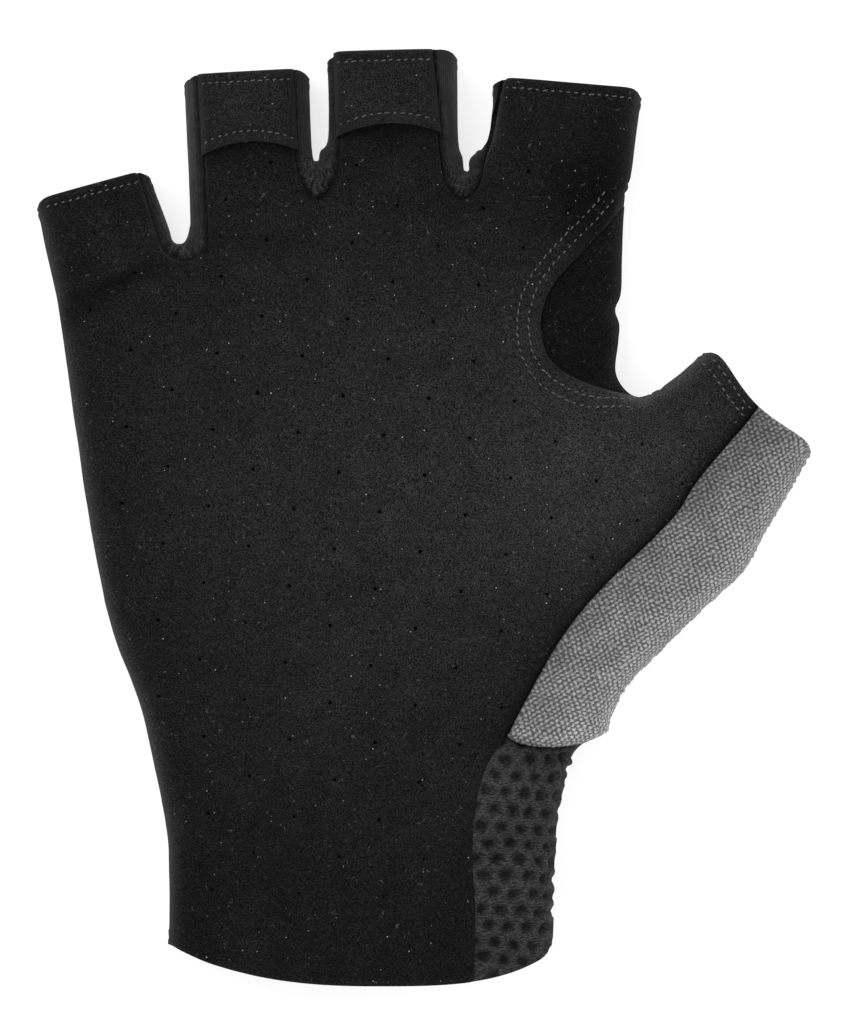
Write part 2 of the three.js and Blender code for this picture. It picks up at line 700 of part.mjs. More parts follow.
// Delaunay triangles of a set of points. The points are shifted by a hair so that no four lie on
// one circle.
function delaunay(points) {
  const far = 5000;
  const shifted = points.map((p, i) => at(p.x + 2e-4 * Math.sin(91.7 * i), p.y + 2e-4 * Math.cos(57.3 * i)));
  const all = [...shifted, at(-far, -far), at(far, -far), at(0, far)];
  const triangle = (a, b, c) => {
    const [p, q, r] = [all[a], all[b], all[c]];
    const twice = 2 * (p.x * (q.y - r.y) + q.x * (r.y - p.y) + r.x * (p.y - q.y));
    const [pp, qq, rr] = [p.lengthSq(), q.lengthSq(), r.lengthSq()];
    const centre = at(
      (pp * (q.y - r.y) + qq * (r.y - p.y) + rr * (p.y - q.y)) / twice,
      (pp * (r.x - q.x) + qq * (p.x - r.x) + rr * (q.x - p.x)) / twice,
    );
    return { corners: [a, b, c], centre, square: centre.distanceToSquared(p) };
  };
  const n = points.length;
  let triangles = [triangle(n, n + 1, n + 2)];
  for (let i = 0; i < n; i++) {
    const rim = new Map();
    triangles = triangles.filter(({ corners, centre, square }) => {
      if (centre.distanceToSquared(all[i]) > square) return true;
      corners.forEach((a, k) => {
        const b = corners[(k + 1) % 3];
        if (!rim.delete(`${b},${a}`)) rim.set(`${a},${b}`, [a, b]);
      });
      return false;
    });
    for (const [a, b] of rim.values()) triangles.push(triangle(a, b, i));
  }
  return triangles.map((t) => t.corners).filter((corners) => corners.every((k) => k < n));
}

// The silhouette's points are shared by both sides, at the edge's height.
const silhouette = chains.flat();
const vertices = silhouette.map((p) => new THREE.Vector3(p.x, p.y, EDGE_HEIGHT));
const faces = [];

// Vertices on the rim of a perforation.
const pierced = new Set();

// The way out of each mouth, by vertex: a wall's end lies square to it.
const waysOut = new Map();
const openingWays = [...fingers, thumb].map((digit) => digit.along).concat(down);
chains.forEach((points, i) => {
  waysOut.set(silhouette.indexOf(points[0]), openingWays.at(i - 1));
  waysOut.set(silhouette.indexOf(points.at(-1)), openingWays[i]);
});

function addSide(side, facesUp) {
  const mouths = fingers.concat(thumb).map((digit, i) => {
    const shares = mouthShares(digit.mouthWidth, side.shares(digit, i), MOUTH_STEPS);
    return shares.map((share) => mouthPoint(digit, share));
  });
  const cuff = mouthShares(CUFF_WIDTH, side.cuffShares, MOUTH_STEPS + 3).map(cuffPoint);
  mouths.push(cuff.reverse());
  const outline = chains.flatMap((points, i) => [...points, ...mouths[i]]);
  const chosen = [...silhouette, ...mouths.flat()];
  const rings = new Map();
  const holes = side.pierced ? perforations(side, outline, mouths) : [];
  for (const [i, middle] of holes.entries())
    for (let k = 0; k < HOLE_SIDES; k++) {
      rings.set(chosen.length, i);
      chosen.push(at(HOLE_RADIUS, 0).rotateAround(at(0, 0), (2 * Math.PI * k) / HOLE_SIDES).add(middle));
    }
  const clearOf = (p, gap) => chosen.every((other) => other.distanceTo(p) >= gap);
  for (const seam of side.seams) for (const p of seam) if (clearOf(p, 0.5)) chosen.push(p);
  const clearOfSeams = (p, gap) => side.seams.every((seam) => pathDistance(p, seam) >= gap);
  const edgeGap = (p) => Math.min(...chains.map((points) => pathDistance(p, points)));
  const offer = (p, fromEdge, gap) => {
    if (!isInside(outline, p) || edgeGap(p) < fromEdge || !clearOf(p, gap)) return;
    if (!clearOfSeams(p, Math.min(gap, ROW_CLEARANCE))) return;
    if (pathDistance(p, [...outline, outline[0]]) < EDGE_CLEARANCE) return;
    chosen.push(p);
  };
  for (const distance of side.rows)
    for (const points of chains)
      for (const p of inset(points, distance)) offer(p, distance * 0.93, ROW_CLEARANCE + distance * 0.2);
  const bounds = new THREE.Box2().setFromPoints(outline);
  const rowStep = LATTICE_STEP * Math.sqrt(0.75);
  for (let j = 0, y = bounds.min.y; y < bounds.max.y; j++, y += rowStep)
    for (let x = bounds.min.x + (j % 2) * LATTICE_STEP * 0.5; x < bounds.max.x; x += LATTICE_STEP)
      offer(at(x, y), side.rows.at(-1), LATTICE_STEP * 0.62);

  const offset = vertices.length - silhouette.length;
  chosen.slice(silhouette.length).forEach((p, i) => {
    const opening = mouths.findIndex((mouth) => mouth.includes(p));
    if (opening >= 0) waysOut.set(vertices.length, openingWays[opening]);
    if (rings.has(silhouette.length + i)) pierced.add(vertices.length);
    vertices.push(new THREE.Vector3(p.x, p.y, side.height(p)));
  });
  const number = (k) => (k < silhouette.length ? k : k + offset);
  for (const [a, b, c] of delaunay(chosen)) {
    const centre = chosen[a].clone().add(chosen[b]).add(chosen[c]).divideScalar(3);
    const doubleArea = chosen[b].clone().sub(chosen[a]).cross(chosen[c].clone().sub(chosen[a]));
    if (!isInside(outline, centre) || Math.abs(doubleArea) < 1e-3) continue;
    if (rings.has(a) && rings.get(a) === rings.get(b) && rings.get(b) === rings.get(c)) continue;
    const panel = side.regions.find((region) => isInside(region.outline, centre))?.panel ?? side.rest;
    const turned = doubleArea > 0 === facesUp;
    faces.push({ panel, corners: turned ? [a, b, c].map(number) : [a, c, b].map(number) });
  }
}
addSide(front, true);
addSide(back, false);

// Outward normals of the whole skin, so that neighbouring panels end in parallel edges.
const normals = vertices.map(() => new THREE.Vector3());
const faceNormal = ([a, b, c]) =>
  new THREE.Vector3()
    .subVectors(vertices[b], vertices[a])
    .cross(new THREE.Vector3().subVectors(vertices[c], vertices[a]));
for (const { corners } of faces) for (const k of corners) normals[k].add(faceNormal(corners));
for (const [k, way] of waysOut) normals[k].projectOnPlane(new THREE.Vector3(way.x, way.y, 0));
normals.forEach((normal) => normal.normalize());

// A panel's wall: its part of the skin, drawn back half a gap from its seams, a copy of it one
// wall further in, and a rim between the two.
function panelGeometry(name, wall) {
  const own = faces.filter((face) => face.panel === name).map((face) => face.corners);
  const edges = new Map();
  for (const corners of own)
    corners.forEach((a, k) => {
      const b = corners[(k + 1) % 3];
      if (!edges.delete(`${b},${a}`)) edges.set(`${a},${b}`, [a, b]);
    });
  const drawn = new Map();
  for (const [a, b] of edges.values()) {
    const inward = new THREE.Vector3()
      .subVectors(vertices[b], vertices[a])
      .normalize()
      .cross(new THREE.Vector3().addVectors(normals[a], normals[b]).normalize())
      .negate();
    for (const k of [a, b]) drawn.set(k, (drawn.get(k) ?? new THREE.Vector3()).add(inward));
  }
  const position = [];
  const number = new Map();
  const add = (k, depth) => {
    const key = `${k},${depth}`;
    if (!number.has(key)) {
      const p = vertices[k].clone().addScaledVector(normals[k], -depth);
      if (drawn.has(k) && !pierced.has(k))
        p.addScaledVector(drawn.get(k), SEAM_GAP / Math.max(drawn.get(k).lengthSq(), 0.5));
      number.set(key, position.length / 3);
      position.push(p.x, p.y, Math.max(p.z, 0));
    }
    return number.get(key);
  };
  const triangles = [];
  for (const [a, b, c] of own) {
    triangles.push(add(a, 0), add(b, 0), add(c, 0));
    triangles.push(add(a, wall), add(c, wall), add(b, wall));
  }
  for (const [a, b] of edges.values()) {
    triangles.push(add(b, 0), add(a, 0), add(a, wall));
    triangles.push(add(b, 0), add(a, wall), add(b, wall));
  }
  return new THREE.BufferGeometry()
    .setAttribute("position", new THREE.Float32BufferAttribute(position, 3))
    .setIndex(triangles);
}

// A tab's two faces, with a rim between them.
function tabGeometry(finger) {
  const across = 8;
  const along = 6;
  const position = [];
  for (const depth of [TAB_WALL, 0])
    for (let j = 0; j <= along; j++)
      for (let k = 0; k <= across; k++) {
        const side = (2 * k) / across - 1;
        const down = j / along;
        const p = tabPoint(finger, side, down);
        const stand = TAB_LIP_RISE * (1 - side * side) * smooth(down);
        position.push(p.x, p.y, frontHeight(p) + TAB_CLEARANCE + stand + depth);
      }
  const layer = (across + 1) * (along + 1);
  const triangles = [];
  const quad = (a, b, c, d) => triangles.push(a, b, c, a, c, d);
  for (let j = 0; j < along; j++)
    for (let k = 0; k < across; k++) {
      const a = j * (across + 1) + k;
      quad(a, a + across + 1, a + across + 2, a + 1);
      quad(layer + a, layer + a + 1, layer + a + across + 2, layer + a + across + 1);
    }
  const rim = [];
  for (let k = 0; k < across; k++) rim.push(k);
  for (let j = 0; j < along; j++) rim.push(j * (across + 1) + across);
  for (let k = across; k > 0; k--) rim.push(along * (across + 1) + k);
  for (let j = along; j > 0; j--) rim.push(j * (across + 1));
  rim.forEach((a, k) => {
    const b = rim[(k + 1) % rim.length];
    quad(a, b, layer + b, layer + a);
  });
  return new THREE.BufferGeometry()
    .setAttribute("position", new THREE.Float32BufferAttribute(position, 3))
    .setIndex(triangles);
}

const suede = () => new THREE.MeshStandardMaterial({ color: 0x1c1c1c, roughness: 0.95, metalness: 0 });
const knit = () => new THREE.MeshStandardMaterial({ color: 0x262626, roughness: 0.9, metalness: 0 });
const weave = () => new THREE.MeshStandardMaterial({ color: 0x7a7a7a, roughness: 0.85, metalness: 0 });
const stretch = () => new THREE.MeshStandardMaterial({ color: 0x242424, roughness: 0.7, metalness: 0 });

const glove = new THREE.Group();
function addPiece(name, geometry, material) {
  const mesh = new THREE.Mesh(geometry, material);
  mesh.name = name;
  glove.add(mesh);
}

addPiece("palm_panel", panelGeometry("palm_panel", SUEDE_WALL), suede());
addPiece("back_panel", panelGeometry("back_panel", KNIT_WALL), knit());
addPiece("thumb_panel", panelGeometry("thumb_panel", KNIT_WALL), weave());
addPiece("thumb_gusset", panelGeometry("thumb_gusset", SUEDE_WALL), suede());
for (const { panel } of slotRegions(frontSlotSeams))
  addPiece(panel, panelGeometry(panel, STRETCH_WALL), stretch());
for (const finger of fingers)
  if (TABS[finger.name]) addPiece(`pull_tab_${finger.name}`, tabGeometry(finger), suede());

const bounds = new THREE.Box3().setFromObject(glove, true);
const centre = bounds.getCenter(new THREE.Vector3());
glove.position.set(-centre.x, -centre.y, -bounds.min.z);

export default glove;
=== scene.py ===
import math
import random
from collections import namedtuple
from types import SimpleNamespace

import bpy
import numpy as np
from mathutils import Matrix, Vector, geometry


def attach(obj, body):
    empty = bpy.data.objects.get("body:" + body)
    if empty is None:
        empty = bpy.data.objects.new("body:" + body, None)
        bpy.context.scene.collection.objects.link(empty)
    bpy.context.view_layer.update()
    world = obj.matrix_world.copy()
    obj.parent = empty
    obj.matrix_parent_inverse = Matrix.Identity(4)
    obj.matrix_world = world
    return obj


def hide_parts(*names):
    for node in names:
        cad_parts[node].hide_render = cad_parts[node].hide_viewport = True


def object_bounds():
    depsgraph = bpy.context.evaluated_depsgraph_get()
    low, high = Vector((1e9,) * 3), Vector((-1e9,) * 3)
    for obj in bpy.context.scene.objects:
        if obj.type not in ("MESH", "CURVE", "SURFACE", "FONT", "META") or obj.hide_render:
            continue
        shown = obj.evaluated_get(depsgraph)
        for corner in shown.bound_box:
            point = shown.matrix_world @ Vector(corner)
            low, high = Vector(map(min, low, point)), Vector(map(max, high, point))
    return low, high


# Right-hand short-finger cycling glove, lying on its back with the palm up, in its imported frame.
# Shapes are worked out in millimetres, in the plan in which the part's source draws them: x = 0 is
# the middle of the cuff and y = 0 the lowest point of its edge.
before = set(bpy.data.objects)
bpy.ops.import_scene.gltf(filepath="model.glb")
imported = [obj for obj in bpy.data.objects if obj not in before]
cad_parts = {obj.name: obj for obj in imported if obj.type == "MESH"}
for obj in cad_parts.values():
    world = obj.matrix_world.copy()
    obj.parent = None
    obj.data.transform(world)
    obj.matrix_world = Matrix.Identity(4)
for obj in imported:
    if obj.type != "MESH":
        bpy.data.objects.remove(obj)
cad_low, cad_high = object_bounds()

# Driving sizes of the outline, the same as in the part's source.
PALM_LENGTH = 140
CUFF_WIDTH = 69
CUFF_SAG = 7.2
CUFF_LOW_SHARE = 0.6
CUFF_CURVE_LEFT = 3
CUFF_CURVE_RIGHT = 3
CUFF_CORNER_LEFT = 0
CUFF_CORNER_RIGHT = 1.6
KNUCKLE_WIDTH = 105.8
KNUCKLE_CENTRE = -3.9
CORNER_DROP = 1.7
CORNER_RUN = 2.4
THUMB_MOUTH_DENT = 1.7
EDGE_HEIGHT = 7
FINGER_RISE = 7.5
PALM_RISE = 14.5
FRONT_ROUND = 6.5
BACK_ROUND = 7
RISE_STARTS = 8
RISE_ENDS = 32
SUEDE_WALL = 1.5
KNIT_WALL = 1.3
STRETCH_WALL = 1.1
EDGE_WRAP = 1.4
GUSSET_WRAP = 3
GUSSET_DEPTH = 16.5
TAB_LENGTH = 14.8
TABS = {"ring": 0.985, "middle": 1.015}
TAB_WALL = 1.2
TAB_LIP_RISE = 2.6
TAB_LIP_ARCH = 2
TAB_SIDE_GAP = 0.5

# Widths are shares of the knuckle width, levels and lengths of the palm's length.
Finger = namedtuple("Finger", "name root level mouth length lean mouth_turn")
FINGERS = [
    Finger("little", 0.2136, 0.954, 0.2, 0.078, 14.1, 15.3),
    Finger("ring", 0.2108, 0.99, 0.2138, 0.1836, 1.7, 3.2),
    Finger("middle", 0.242, 1.05, 0.2221, 0.151, -0.6, 1.4),
    Finger("index", 0.2741, 1.04, 0.253, 0.1225, -11, -4.9),
]
THUMB_WIDTH = 26.3
THUMB_LENGTH = 31
THUMB_LEAN = -45
THUMB_MOUTH_TURN = -44.6
THUMB_ROOT = (0.017, 0.598)

# Between each two fingers: the slot's size, how its edges stand, and how far in the palm ends.
SLOT_BULGE = 6
STRIP_REVEAL = 2.5
Slot = namedtuple("Slot", "gap level reach back_left back_right")
SLOTS = [
    Slot(0.0321, 0.954, 1.08, 0.23, 0.02),
    Slot(0.0132, 1.06, 0.75, 0.03, 0.22),
    Slot(0.0142, 1.047, 1, 0.13, 0.5),
]
Reveal = namedtuple("Reveal", "seam_left beside_left depth beside_right seam_right")
FRONT_REVEALS = [
    Reveal(0.52, 0.48, 1, 1.2, 1),
    Reveal(1.08, 0.92, 2.72, 1.12, 0.4),
    Reveal(1.76, 1.2, 1.92, 0.6, 0.36),
]
BACK_REVEAL = Reveal(0.88, 0.96, 1.04, 0.96, 0.88)

# Columns: height as a share of the palm's length, flare from the cuff to the little finger.
ULNAR_EDGE = [
    (0.15, 0), (0.2, 0.02), (0.28, 0.12), (0.36, 0.23), (0.46, 0.46), (0.56, 0.6), (0.7, 0.735),
    (0.87, 0.885),
]
# Columns: share of the way down to the thumb, how far in as a share of the palm's length.
RADIAL_EDGE = [
    (0.12, 0.0093), (0.36, 0.0135), (0.53, 0.0163), (0.605, 0.0243), (0.67, 0.0198),
    (0.75, 0.0213), (0.88, 0.0268), (0.96, 0.0172),
]
# Out from the index finger as a share of the knuckle width, up as a share of the palm's length.
THUMB_CROTCH = (0.0104, 0.757)
# Columns: shares across and up.
THUMB_INNER_EDGE = [(0.26, 0.14), (0.53, 0.42), (0.83, 0.8)]
THUMB_OUTER_EDGE = [
    (0.027, 0.043), (0.107, 0.169), (0.286, 0.311), (0.482, 0.451), (0.683, 0.591), (0.79, 0.731),
    (0.908, 0.876),
]
# Columns: height as a share of the palm's length, distance out as a share of the cuff's width.
WRIST_EDGE = [(0.305, 0.072), (0.277, 0.04), (0.251, 0.031), (0.218, 0.017), (0.16, 0.008)]
HEM_CORNER = (0.1355, 0.321)
# Shares of the cuff's width and of the palm's length.
WRIST_JOINT = (0.389, 0.319)
BACK_WRIST_JOINT = (0.44, 0.33)
PALM_TO_BACK_SEAM = [
    (0.357, 0.303), (0.329, 0.276), (0.307, 0.236), (0.297, 0.193), (0.297, 0.148), (0.303, 0.09),
]
# Columns: shares across and up.
HEM_LINE = [(0.14, -0.075), (0.45, -0.11), (0.79, -0.075)]
PALM_TO_THUMB_SEAM = [
    (0.089, 0.128), (0.218, 0.298), (0.365, 0.438), (0.579, 0.597), (0.677, 0.678), (0.739, 0.755),
    (0.806, 0.822), (0.88, 0.888), (0.942, 0.942),
]
THUMB_SEAM_AT_MOUTH = 0.52
BACK_TO_THUMB_SEAM = [(0.6, 0.8), (0.25, 0.5), (0.02, 0.22)]
GUSSET_START = 0.14
# Columns: share of the way down, depth as a share of the gusset's.
GUSSET_SEAM = [
    (0.09, 0.17), (0.2, 0.41), (0.3, 0.63), (0.41, 0.83), (0.5, 0.94), (0.6, 1), (0.7, 1),
    (0.79, 0.95), (0.865, 0.81), (0.91, 0.63), (0.95, 0.4),
]
SEAM_AT_CUFF = 0.8

# Folds pressed into the front: middle as shares of the knuckle width and the palm's length,
# direction in degrees, half length and half width as shares of the knuckle width, and depth in
# millimetres. The first three are the part's own, and the rest are finer creases.
Fold = namedtuple("Fold", "x y turn half_length half_width depth")
FOLDS = [
    Fold(-0.44, 0.86, 17, 0.104, 0.032, 1.5),
    Fold(0.36, 0.965, 28, 0.085, 0.047, 0.9),
    Fold(0.42, 0.785, -14, 0.066, 0.025, 1.5),
]
CREASES = [
    Fold(-0.358, 0.904, 21, 0.085, 0.016, 1),
    Fold(-0.379, 0.918, 17, 0.075, 0.012, -0.4),
    Fold(-0.431, 0.917, 8, 0.05, 0.013, 0.5),
    Fold(-0.455, 0.85, 40, 0.035, 0.02, 0.5),
    Fold(-0.345, 0.882, 20, 0.08, 0.022, -0.35),
    Fold(0.12, 0.27, 62, 0.09, 0.03, 0.45),
    Fold(-0.2, 0.13, -30, 0.08, 0.028, 0.4),
    Fold(0.02, 0.5, 8, 0.12, 0.03, 0.3),
    Fold(0.3, 0.93, -8, 0.07, 0.014, 0.4),
    Fold(-0.12, 0.955, 5, 0.08, 0.02, 0.5),
    Fold(0.13, 1.0, -4, 0.08, 0.02, 0.5),
]

# Perforations, as in the part's source.
HOLE_RADIUS = 0.32
HOLE_SPACING = 15.47
HOLE_ROW_PITCH = 6.9
HOLE_ROW_TILT = -1.9
HOLE_COLUMN_LEAN = 3.3
HOLE_ORIGIN = (0.0147, 0.411)
HOLE_CLEARANCE_SEAM = 1.9
HOLE_CLEARANCE_EDGE = 3.4
HOLE_CLEARANCE_HEM = 3.2
HOLE_CLEARANCE_GUSSET = 4.6
# Rings of mesh points round each hole: radius and count.
HOLE_RINGS = [(HOLE_RADIUS, 10), (0.52, 10), (0.85, 12)]

# Mesh spacing in millimetres: on the outline, by panel, and of the rows beside seams, stitches and
# mouths. Rows along the rounded edge are a turn in degrees apart.
OUTLINE_STEP = 0.6
FINE_STEP = OUTLINE_STEP * 0.7
SPACING = {
    "palm_panel": 0.74,
    "back_panel": 0.72,
    "thumb_panel": 0.34,
    "thumb_gusset": 0.55,
    "stretch_strip_little_ring": 0.38,
    "stretch_strip_ring_middle": 0.38,
    "stretch_strip_middle_index": 0.38,
}
SEAM_ROWS = [0.3, 0.65, 1.1]
MOUTH_ROWS = [0.14, 0.4, 0.75, 1.1, 1.45, 1.8, 2.25]
# The least gap between a new mesh point and the others: beside edges, seams, stitches, mouths and
# holes in millimetres, and in a lattice as a share of its spacing. The first rows beside an edge lie
# closer, with a gap that grows with their distance from it.
EDGE_GAP = 0.4
SEAM_GAP = 0.22
STITCH_GAP = 0.2
MOUTH_GAP = 0.13
HOLE_GAP = 0.15
LATTICE_GAP = 0.62
CLOSE_EDGE_ROWS = 3
CLOSE_EDGE_GAP = 0.03
CLOSE_EDGE_GROWTH = 0.55
STITCH_ROWS = [-0.5, -0.25, 0, 0.25, 0.5]
EDGE_ROW_TURN = 7
EDGE_ROWS = 8
# How far the edges run on past the mouths for the smoothed distance to them.
EXTENSION = 45


def at(x, y):
    return np.array([x, y], float)


def mix(a, b, share):
    return a + (b - a) * share


def between(a, b, rows):
    """Points between two others, from rows of shares across and up."""
    return [at(mix(a[0], b[0], across), mix(a[1], b[1], up)) for across, up in rows]


def turned(p, angle):
    c, s = math.cos(math.radians(angle)), math.sin(math.radians(angle))
    return np.array([c * p[..., 0] - s * p[..., 1], s * p[..., 0] + c * p[..., 1]]).T


def smooth(value):
    share = np.clip(value, 0, 1)
    return share * share * (3 - 2 * share)


def dome(share):
    return np.sqrt(1 - (1 - np.clip(share, 0, 1)) ** 2)


def bell(distance, width):
    return np.exp(-((distance / width) ** 2))


def unit(vectors):
    return vectors / np.maximum(np.linalg.norm(vectors, axis=1), 1e-12)[:, None]


def lengths_along(points):
    """How far along a path each of its points lies."""
    return np.concatenate([[0], np.cumsum(np.linalg.norm(np.diff(points, axis=0), axis=1))])


def chain(points, step):
    """Evenly spaced points on the smooth curve through the given points."""
    points = np.array(points, float)
    knots = np.vstack([points[:1], points, points[-1:]])
    t = np.linspace(0, 1, 24, endpoint=False)[:, None]
    curve = []
    for before, a, b, after in zip(knots, knots[1:], knots[2:], knots[3:]):
        start, end = (b - before) / 2, (after - a) / 2
        cubic = (2 * a - 2 * b + start + end) * t**3
        curve.append(cubic + (-3 * a + 3 * b - 2 * start - end) * t**2 + start * t + a)
    curve = np.vstack([*curve, points[-1:]])
    length = lengths_along(curve)
    count = max(2, round(length[-1] / step))
    spaced = np.linspace(0, length[-1], count + 1)
    return np.array([np.interp(spaced, length, curve[:, k]) for k in (0, 1)]).T


def inset(points, distance):
    """The same line, moved to the right of its direction, which is the inside of the glove."""
    way = unit(np.gradient(points, axis=0))
    return points + distance * np.stack([way[:, 1], -way[:, 0]], axis=1)


def nearest(points, target):
    return int(np.argmin(np.linalg.norm(points - target, axis=1)))


# Outline
def make_digit(name, root, mouth_width, length, lean, mouth_turn):
    along = turned(at(0, 1), lean)
    across = turned(at(1, 0), mouth_turn)
    middle = root + along * length
    left, right = (middle + across * side * mouth_width / 2 - along * CORNER_DROP for side in (-1, 1))
    return SimpleNamespace(name=name, along=along, width=mouth_width, left=left, right=right)


fingers = []
reached = KNUCKLE_CENTRE - KNUCKLE_WIDTH / 2
for row, slot in zip(FINGERS, [*SLOTS, None]):
    root_width = row.root * KNUCKLE_WIDTH
    root = at(reached + root_width / 2, row.level * PALM_LENGTH)
    sizes = (row.mouth * KNUCKLE_WIDTH, row.length * PALM_LENGTH, row.lean, row.mouth_turn)
    finger = make_digit(row.name, root, *sizes)
    finger.root_left, finger.root_right, finger.root_y = reached, reached + root_width, root[1]
    fingers.append(finger)
    reached += root_width + (slot.gap * KNUCKLE_WIDTH if slot else 0)
little, ring, middle_finger, index = fingers
tabbed_fingers = [finger for finger in fingers if finger.name in TABS]
thumb_root = at(index.root_right + THUMB_ROOT[0] * KNUCKLE_WIDTH, THUMB_ROOT[1] * PALM_LENGTH)
thumb = make_digit("thumb", thumb_root, THUMB_WIDTH, THUMB_LENGTH, THUMB_LEAN, THUMB_MOUTH_TURN)
digits = [*fingers, thumb]

cuff_left = at(-CUFF_WIDTH / 2, CUFF_SAG)
cuff_right = at(CUFF_WIDTH / 2, CUFF_SAG)
ulnar_points = [at(mix(cuff_left[0], little.root_left, flare), up * PALM_LENGTH) for up, flare in ULNAR_EDGE]
ulnar_chain = chain(
    [cuff_left, *ulnar_points, at(little.root_left, little.root_y), little.left], OUTLINE_STEP
)

slots = []
for row, left_finger, right_finger in zip(SLOTS, fingers, fingers[1:]):
    slot = SimpleNamespace(left_finger=left_finger, right_finger=right_finger)
    slot.left, slot.right = left_finger.root_right, right_finger.root_left
    slot.bottom = row.level * PALM_LENGTH
    slot.reach = row.reach * SLOT_BULGE
    gap = slot.right - slot.left
    slot.chain = chain(
        [
            left_finger.right,
            at(slot.left - row.back_left * SLOT_BULGE, slot.bottom + slot.reach),
            at(slot.left, slot.bottom + slot.reach * 0.4),
            at(mix(slot.left, slot.right, 0.2), slot.bottom + gap * 0.15),
            at(mix(slot.left, slot.right, 0.5), slot.bottom),
            at(mix(slot.left, slot.right, 0.8), slot.bottom + gap * 0.15),
            at(slot.right, slot.bottom + slot.reach * 0.4),
            at(slot.right + row.back_right * SLOT_BULGE, slot.bottom + slot.reach),
            right_finger.left,
        ],
        FINE_STEP,
    )
    slots.append(slot)

thumb_crotch = at(index.root_right + THUMB_CROTCH[0] * KNUCKLE_WIDTH, THUMB_CROTCH[1] * PALM_LENGTH)
radial_root = at(index.root_right, index.root_y)


def radial_point(down, inward):
    return mix(radial_root, thumb_crotch, down) - at(inward, 0)


crotch_chain = chain(
    [
        index.right,
        radial_root,
        *(radial_point(down, inward * PALM_LENGTH) for down, inward in RADIAL_EDGE),
        thumb_crotch,
        *between(thumb_crotch, thumb.left, THUMB_INNER_EDGE),
        thumb.left,
    ],
    OUTLINE_STEP,
)
hem_corner = at(CUFF_WIDTH * (0.5 + HEM_CORNER[0]), HEM_CORNER[1] * PALM_LENGTH)
outer_points = between(hem_corner, thumb.right, THUMB_OUTER_EDGE)
thumb_outer_chain = chain([thumb.right, *reversed(outer_points), hem_corner], FINE_STEP)
wrist_points = [at(CUFF_WIDTH * (0.5 + out), up * PALM_LENGTH) for up, out in WRIST_EDGE]
wrist_chain = chain([hem_corner, *wrist_points, cuff_right], OUTLINE_STEP)
outer_chain = np.vstack([thumb_outer_chain, wrist_chain[1:]])
chains = [ulnar_chain, *(slot.chain for slot in slots), crotch_chain, outer_chain]


def mouth_point(digit, share):
    share = np.asarray(share)[..., None]
    rise = CORNER_DROP * dome(np.minimum(share, 1 - share) * digit.width / CORNER_RUN)
    if digit is thumb:
        rise = rise - THUMB_MOUTH_DENT * np.sin(math.pi * share) ** 2
    return mix(digit.left, digit.right, share) + digit.along * rise


def cuff_point(share):
    is_left = share < CUFF_LOW_SHARE
    from_lowest = abs(share - CUFF_LOW_SHARE) / (CUFF_LOW_SHARE if is_left else 1 - CUFF_LOW_SHARE)
    corner = CUFF_CORNER_LEFT if is_left else CUFF_CORNER_RIGHT
    rise = (CUFF_SAG - corner) * from_lowest ** (CUFF_CURVE_LEFT if is_left else CUFF_CURVE_RIGHT)
    rise += corner * (1 - dome(min(share, 1 - share) * CUFF_WIDTH / CORNER_RUN))
    return at(mix(cuff_left[0], cuff_right[0], share), rise)


def mouth_shares(width, seams):
    """Evenly spaced shares of a mouth, and the shares where seams end on it."""
    count = round(width / OUTLINE_STEP)
    even = np.arange(1, count) / count
    clear = [s for s in even if all(abs(s - seam) * width > OUTLINE_STEP / 2 for seam in seams)]
    return sorted([*clear, *seams])


# Seams
def slot_seam(slot, reveal):
    hip = slot.bottom + slot.reach * 0.15
    left = slot.left - reveal.beside_left * STRIP_REVEAL
    right = slot.right + reveal.beside_right * STRIP_REVEAL
    depth = reveal.depth * STRIP_REVEAL + hip - slot.bottom
    below = [
        at((left + right) / 2 - (right - left) / 2 * math.cos(angle), hip - depth * math.sin(angle))
        for angle in np.linspace(0, math.pi, 7)
    ]
    left_share = 1 - reveal.seam_left * STRIP_REVEAL / slot.left_finger.width
    right_share = reveal.seam_right * STRIP_REVEAL / slot.right_finger.width
    ends = mouth_point(slot.left_finger, left_share), mouth_point(slot.right_finger, right_share)
    points = chain([ends[0], *below, ends[1]], OUTLINE_STEP)
    return SimpleNamespace(points=points, left_share=left_share, right_share=right_share)


def cuff_share(pair):
    """The point at those shares of the cuff's width and the palm's length."""
    return at(pair[0] * CUFF_WIDTH, pair[1] * PALM_LENGTH)


wrist_joint = cuff_share(WRIST_JOINT)
thumb_seam_end = mouth_point(thumb, THUMB_SEAM_AT_MOUTH)
palm_to_back_seam = chain(
    [wrist_joint, *map(cuff_share, PALM_TO_BACK_SEAM), cuff_point(SEAM_AT_CUFF)], OUTLINE_STEP
)
thumb_seam_points = between(wrist_joint, thumb_seam_end, PALM_TO_THUMB_SEAM)
palm_to_thumb_seam = chain([wrist_joint, *thumb_seam_points, thumb_seam_end], FINE_STEP)
hem_width = hem_corner[0] - wrist_joint[0]
hem_points = [wrist_joint + at(*row) * hem_width for row in HEM_LINE]
hem_seam = chain([wrist_joint, *hem_points, hem_corner], FINE_STEP)
gusset_top = nearest(crotch_chain, radial_point(GUSSET_START, 0))
gusset_end = nearest(crotch_chain, thumb_crotch)
gusset_edge = crotch_chain[gusset_top : gusset_end + 1]
gusset_points = [
    mix(gusset_edge[0], gusset_edge[-1], down) - at(depth * GUSSET_DEPTH, 0) for down, depth in GUSSET_SEAM
]
gusset_seam = chain([gusset_edge[0], *gusset_points, gusset_edge[-1]], OUTLINE_STEP)
back_wrist_joint = cuff_share(BACK_WRIST_JOINT)
back_seam_points = between(back_wrist_joint, thumb_crotch, BACK_TO_THUMB_SEAM)
back_to_thumb_seam = chain([gusset_edge[-1], *back_seam_points, back_wrist_joint], OUTLINE_STEP)
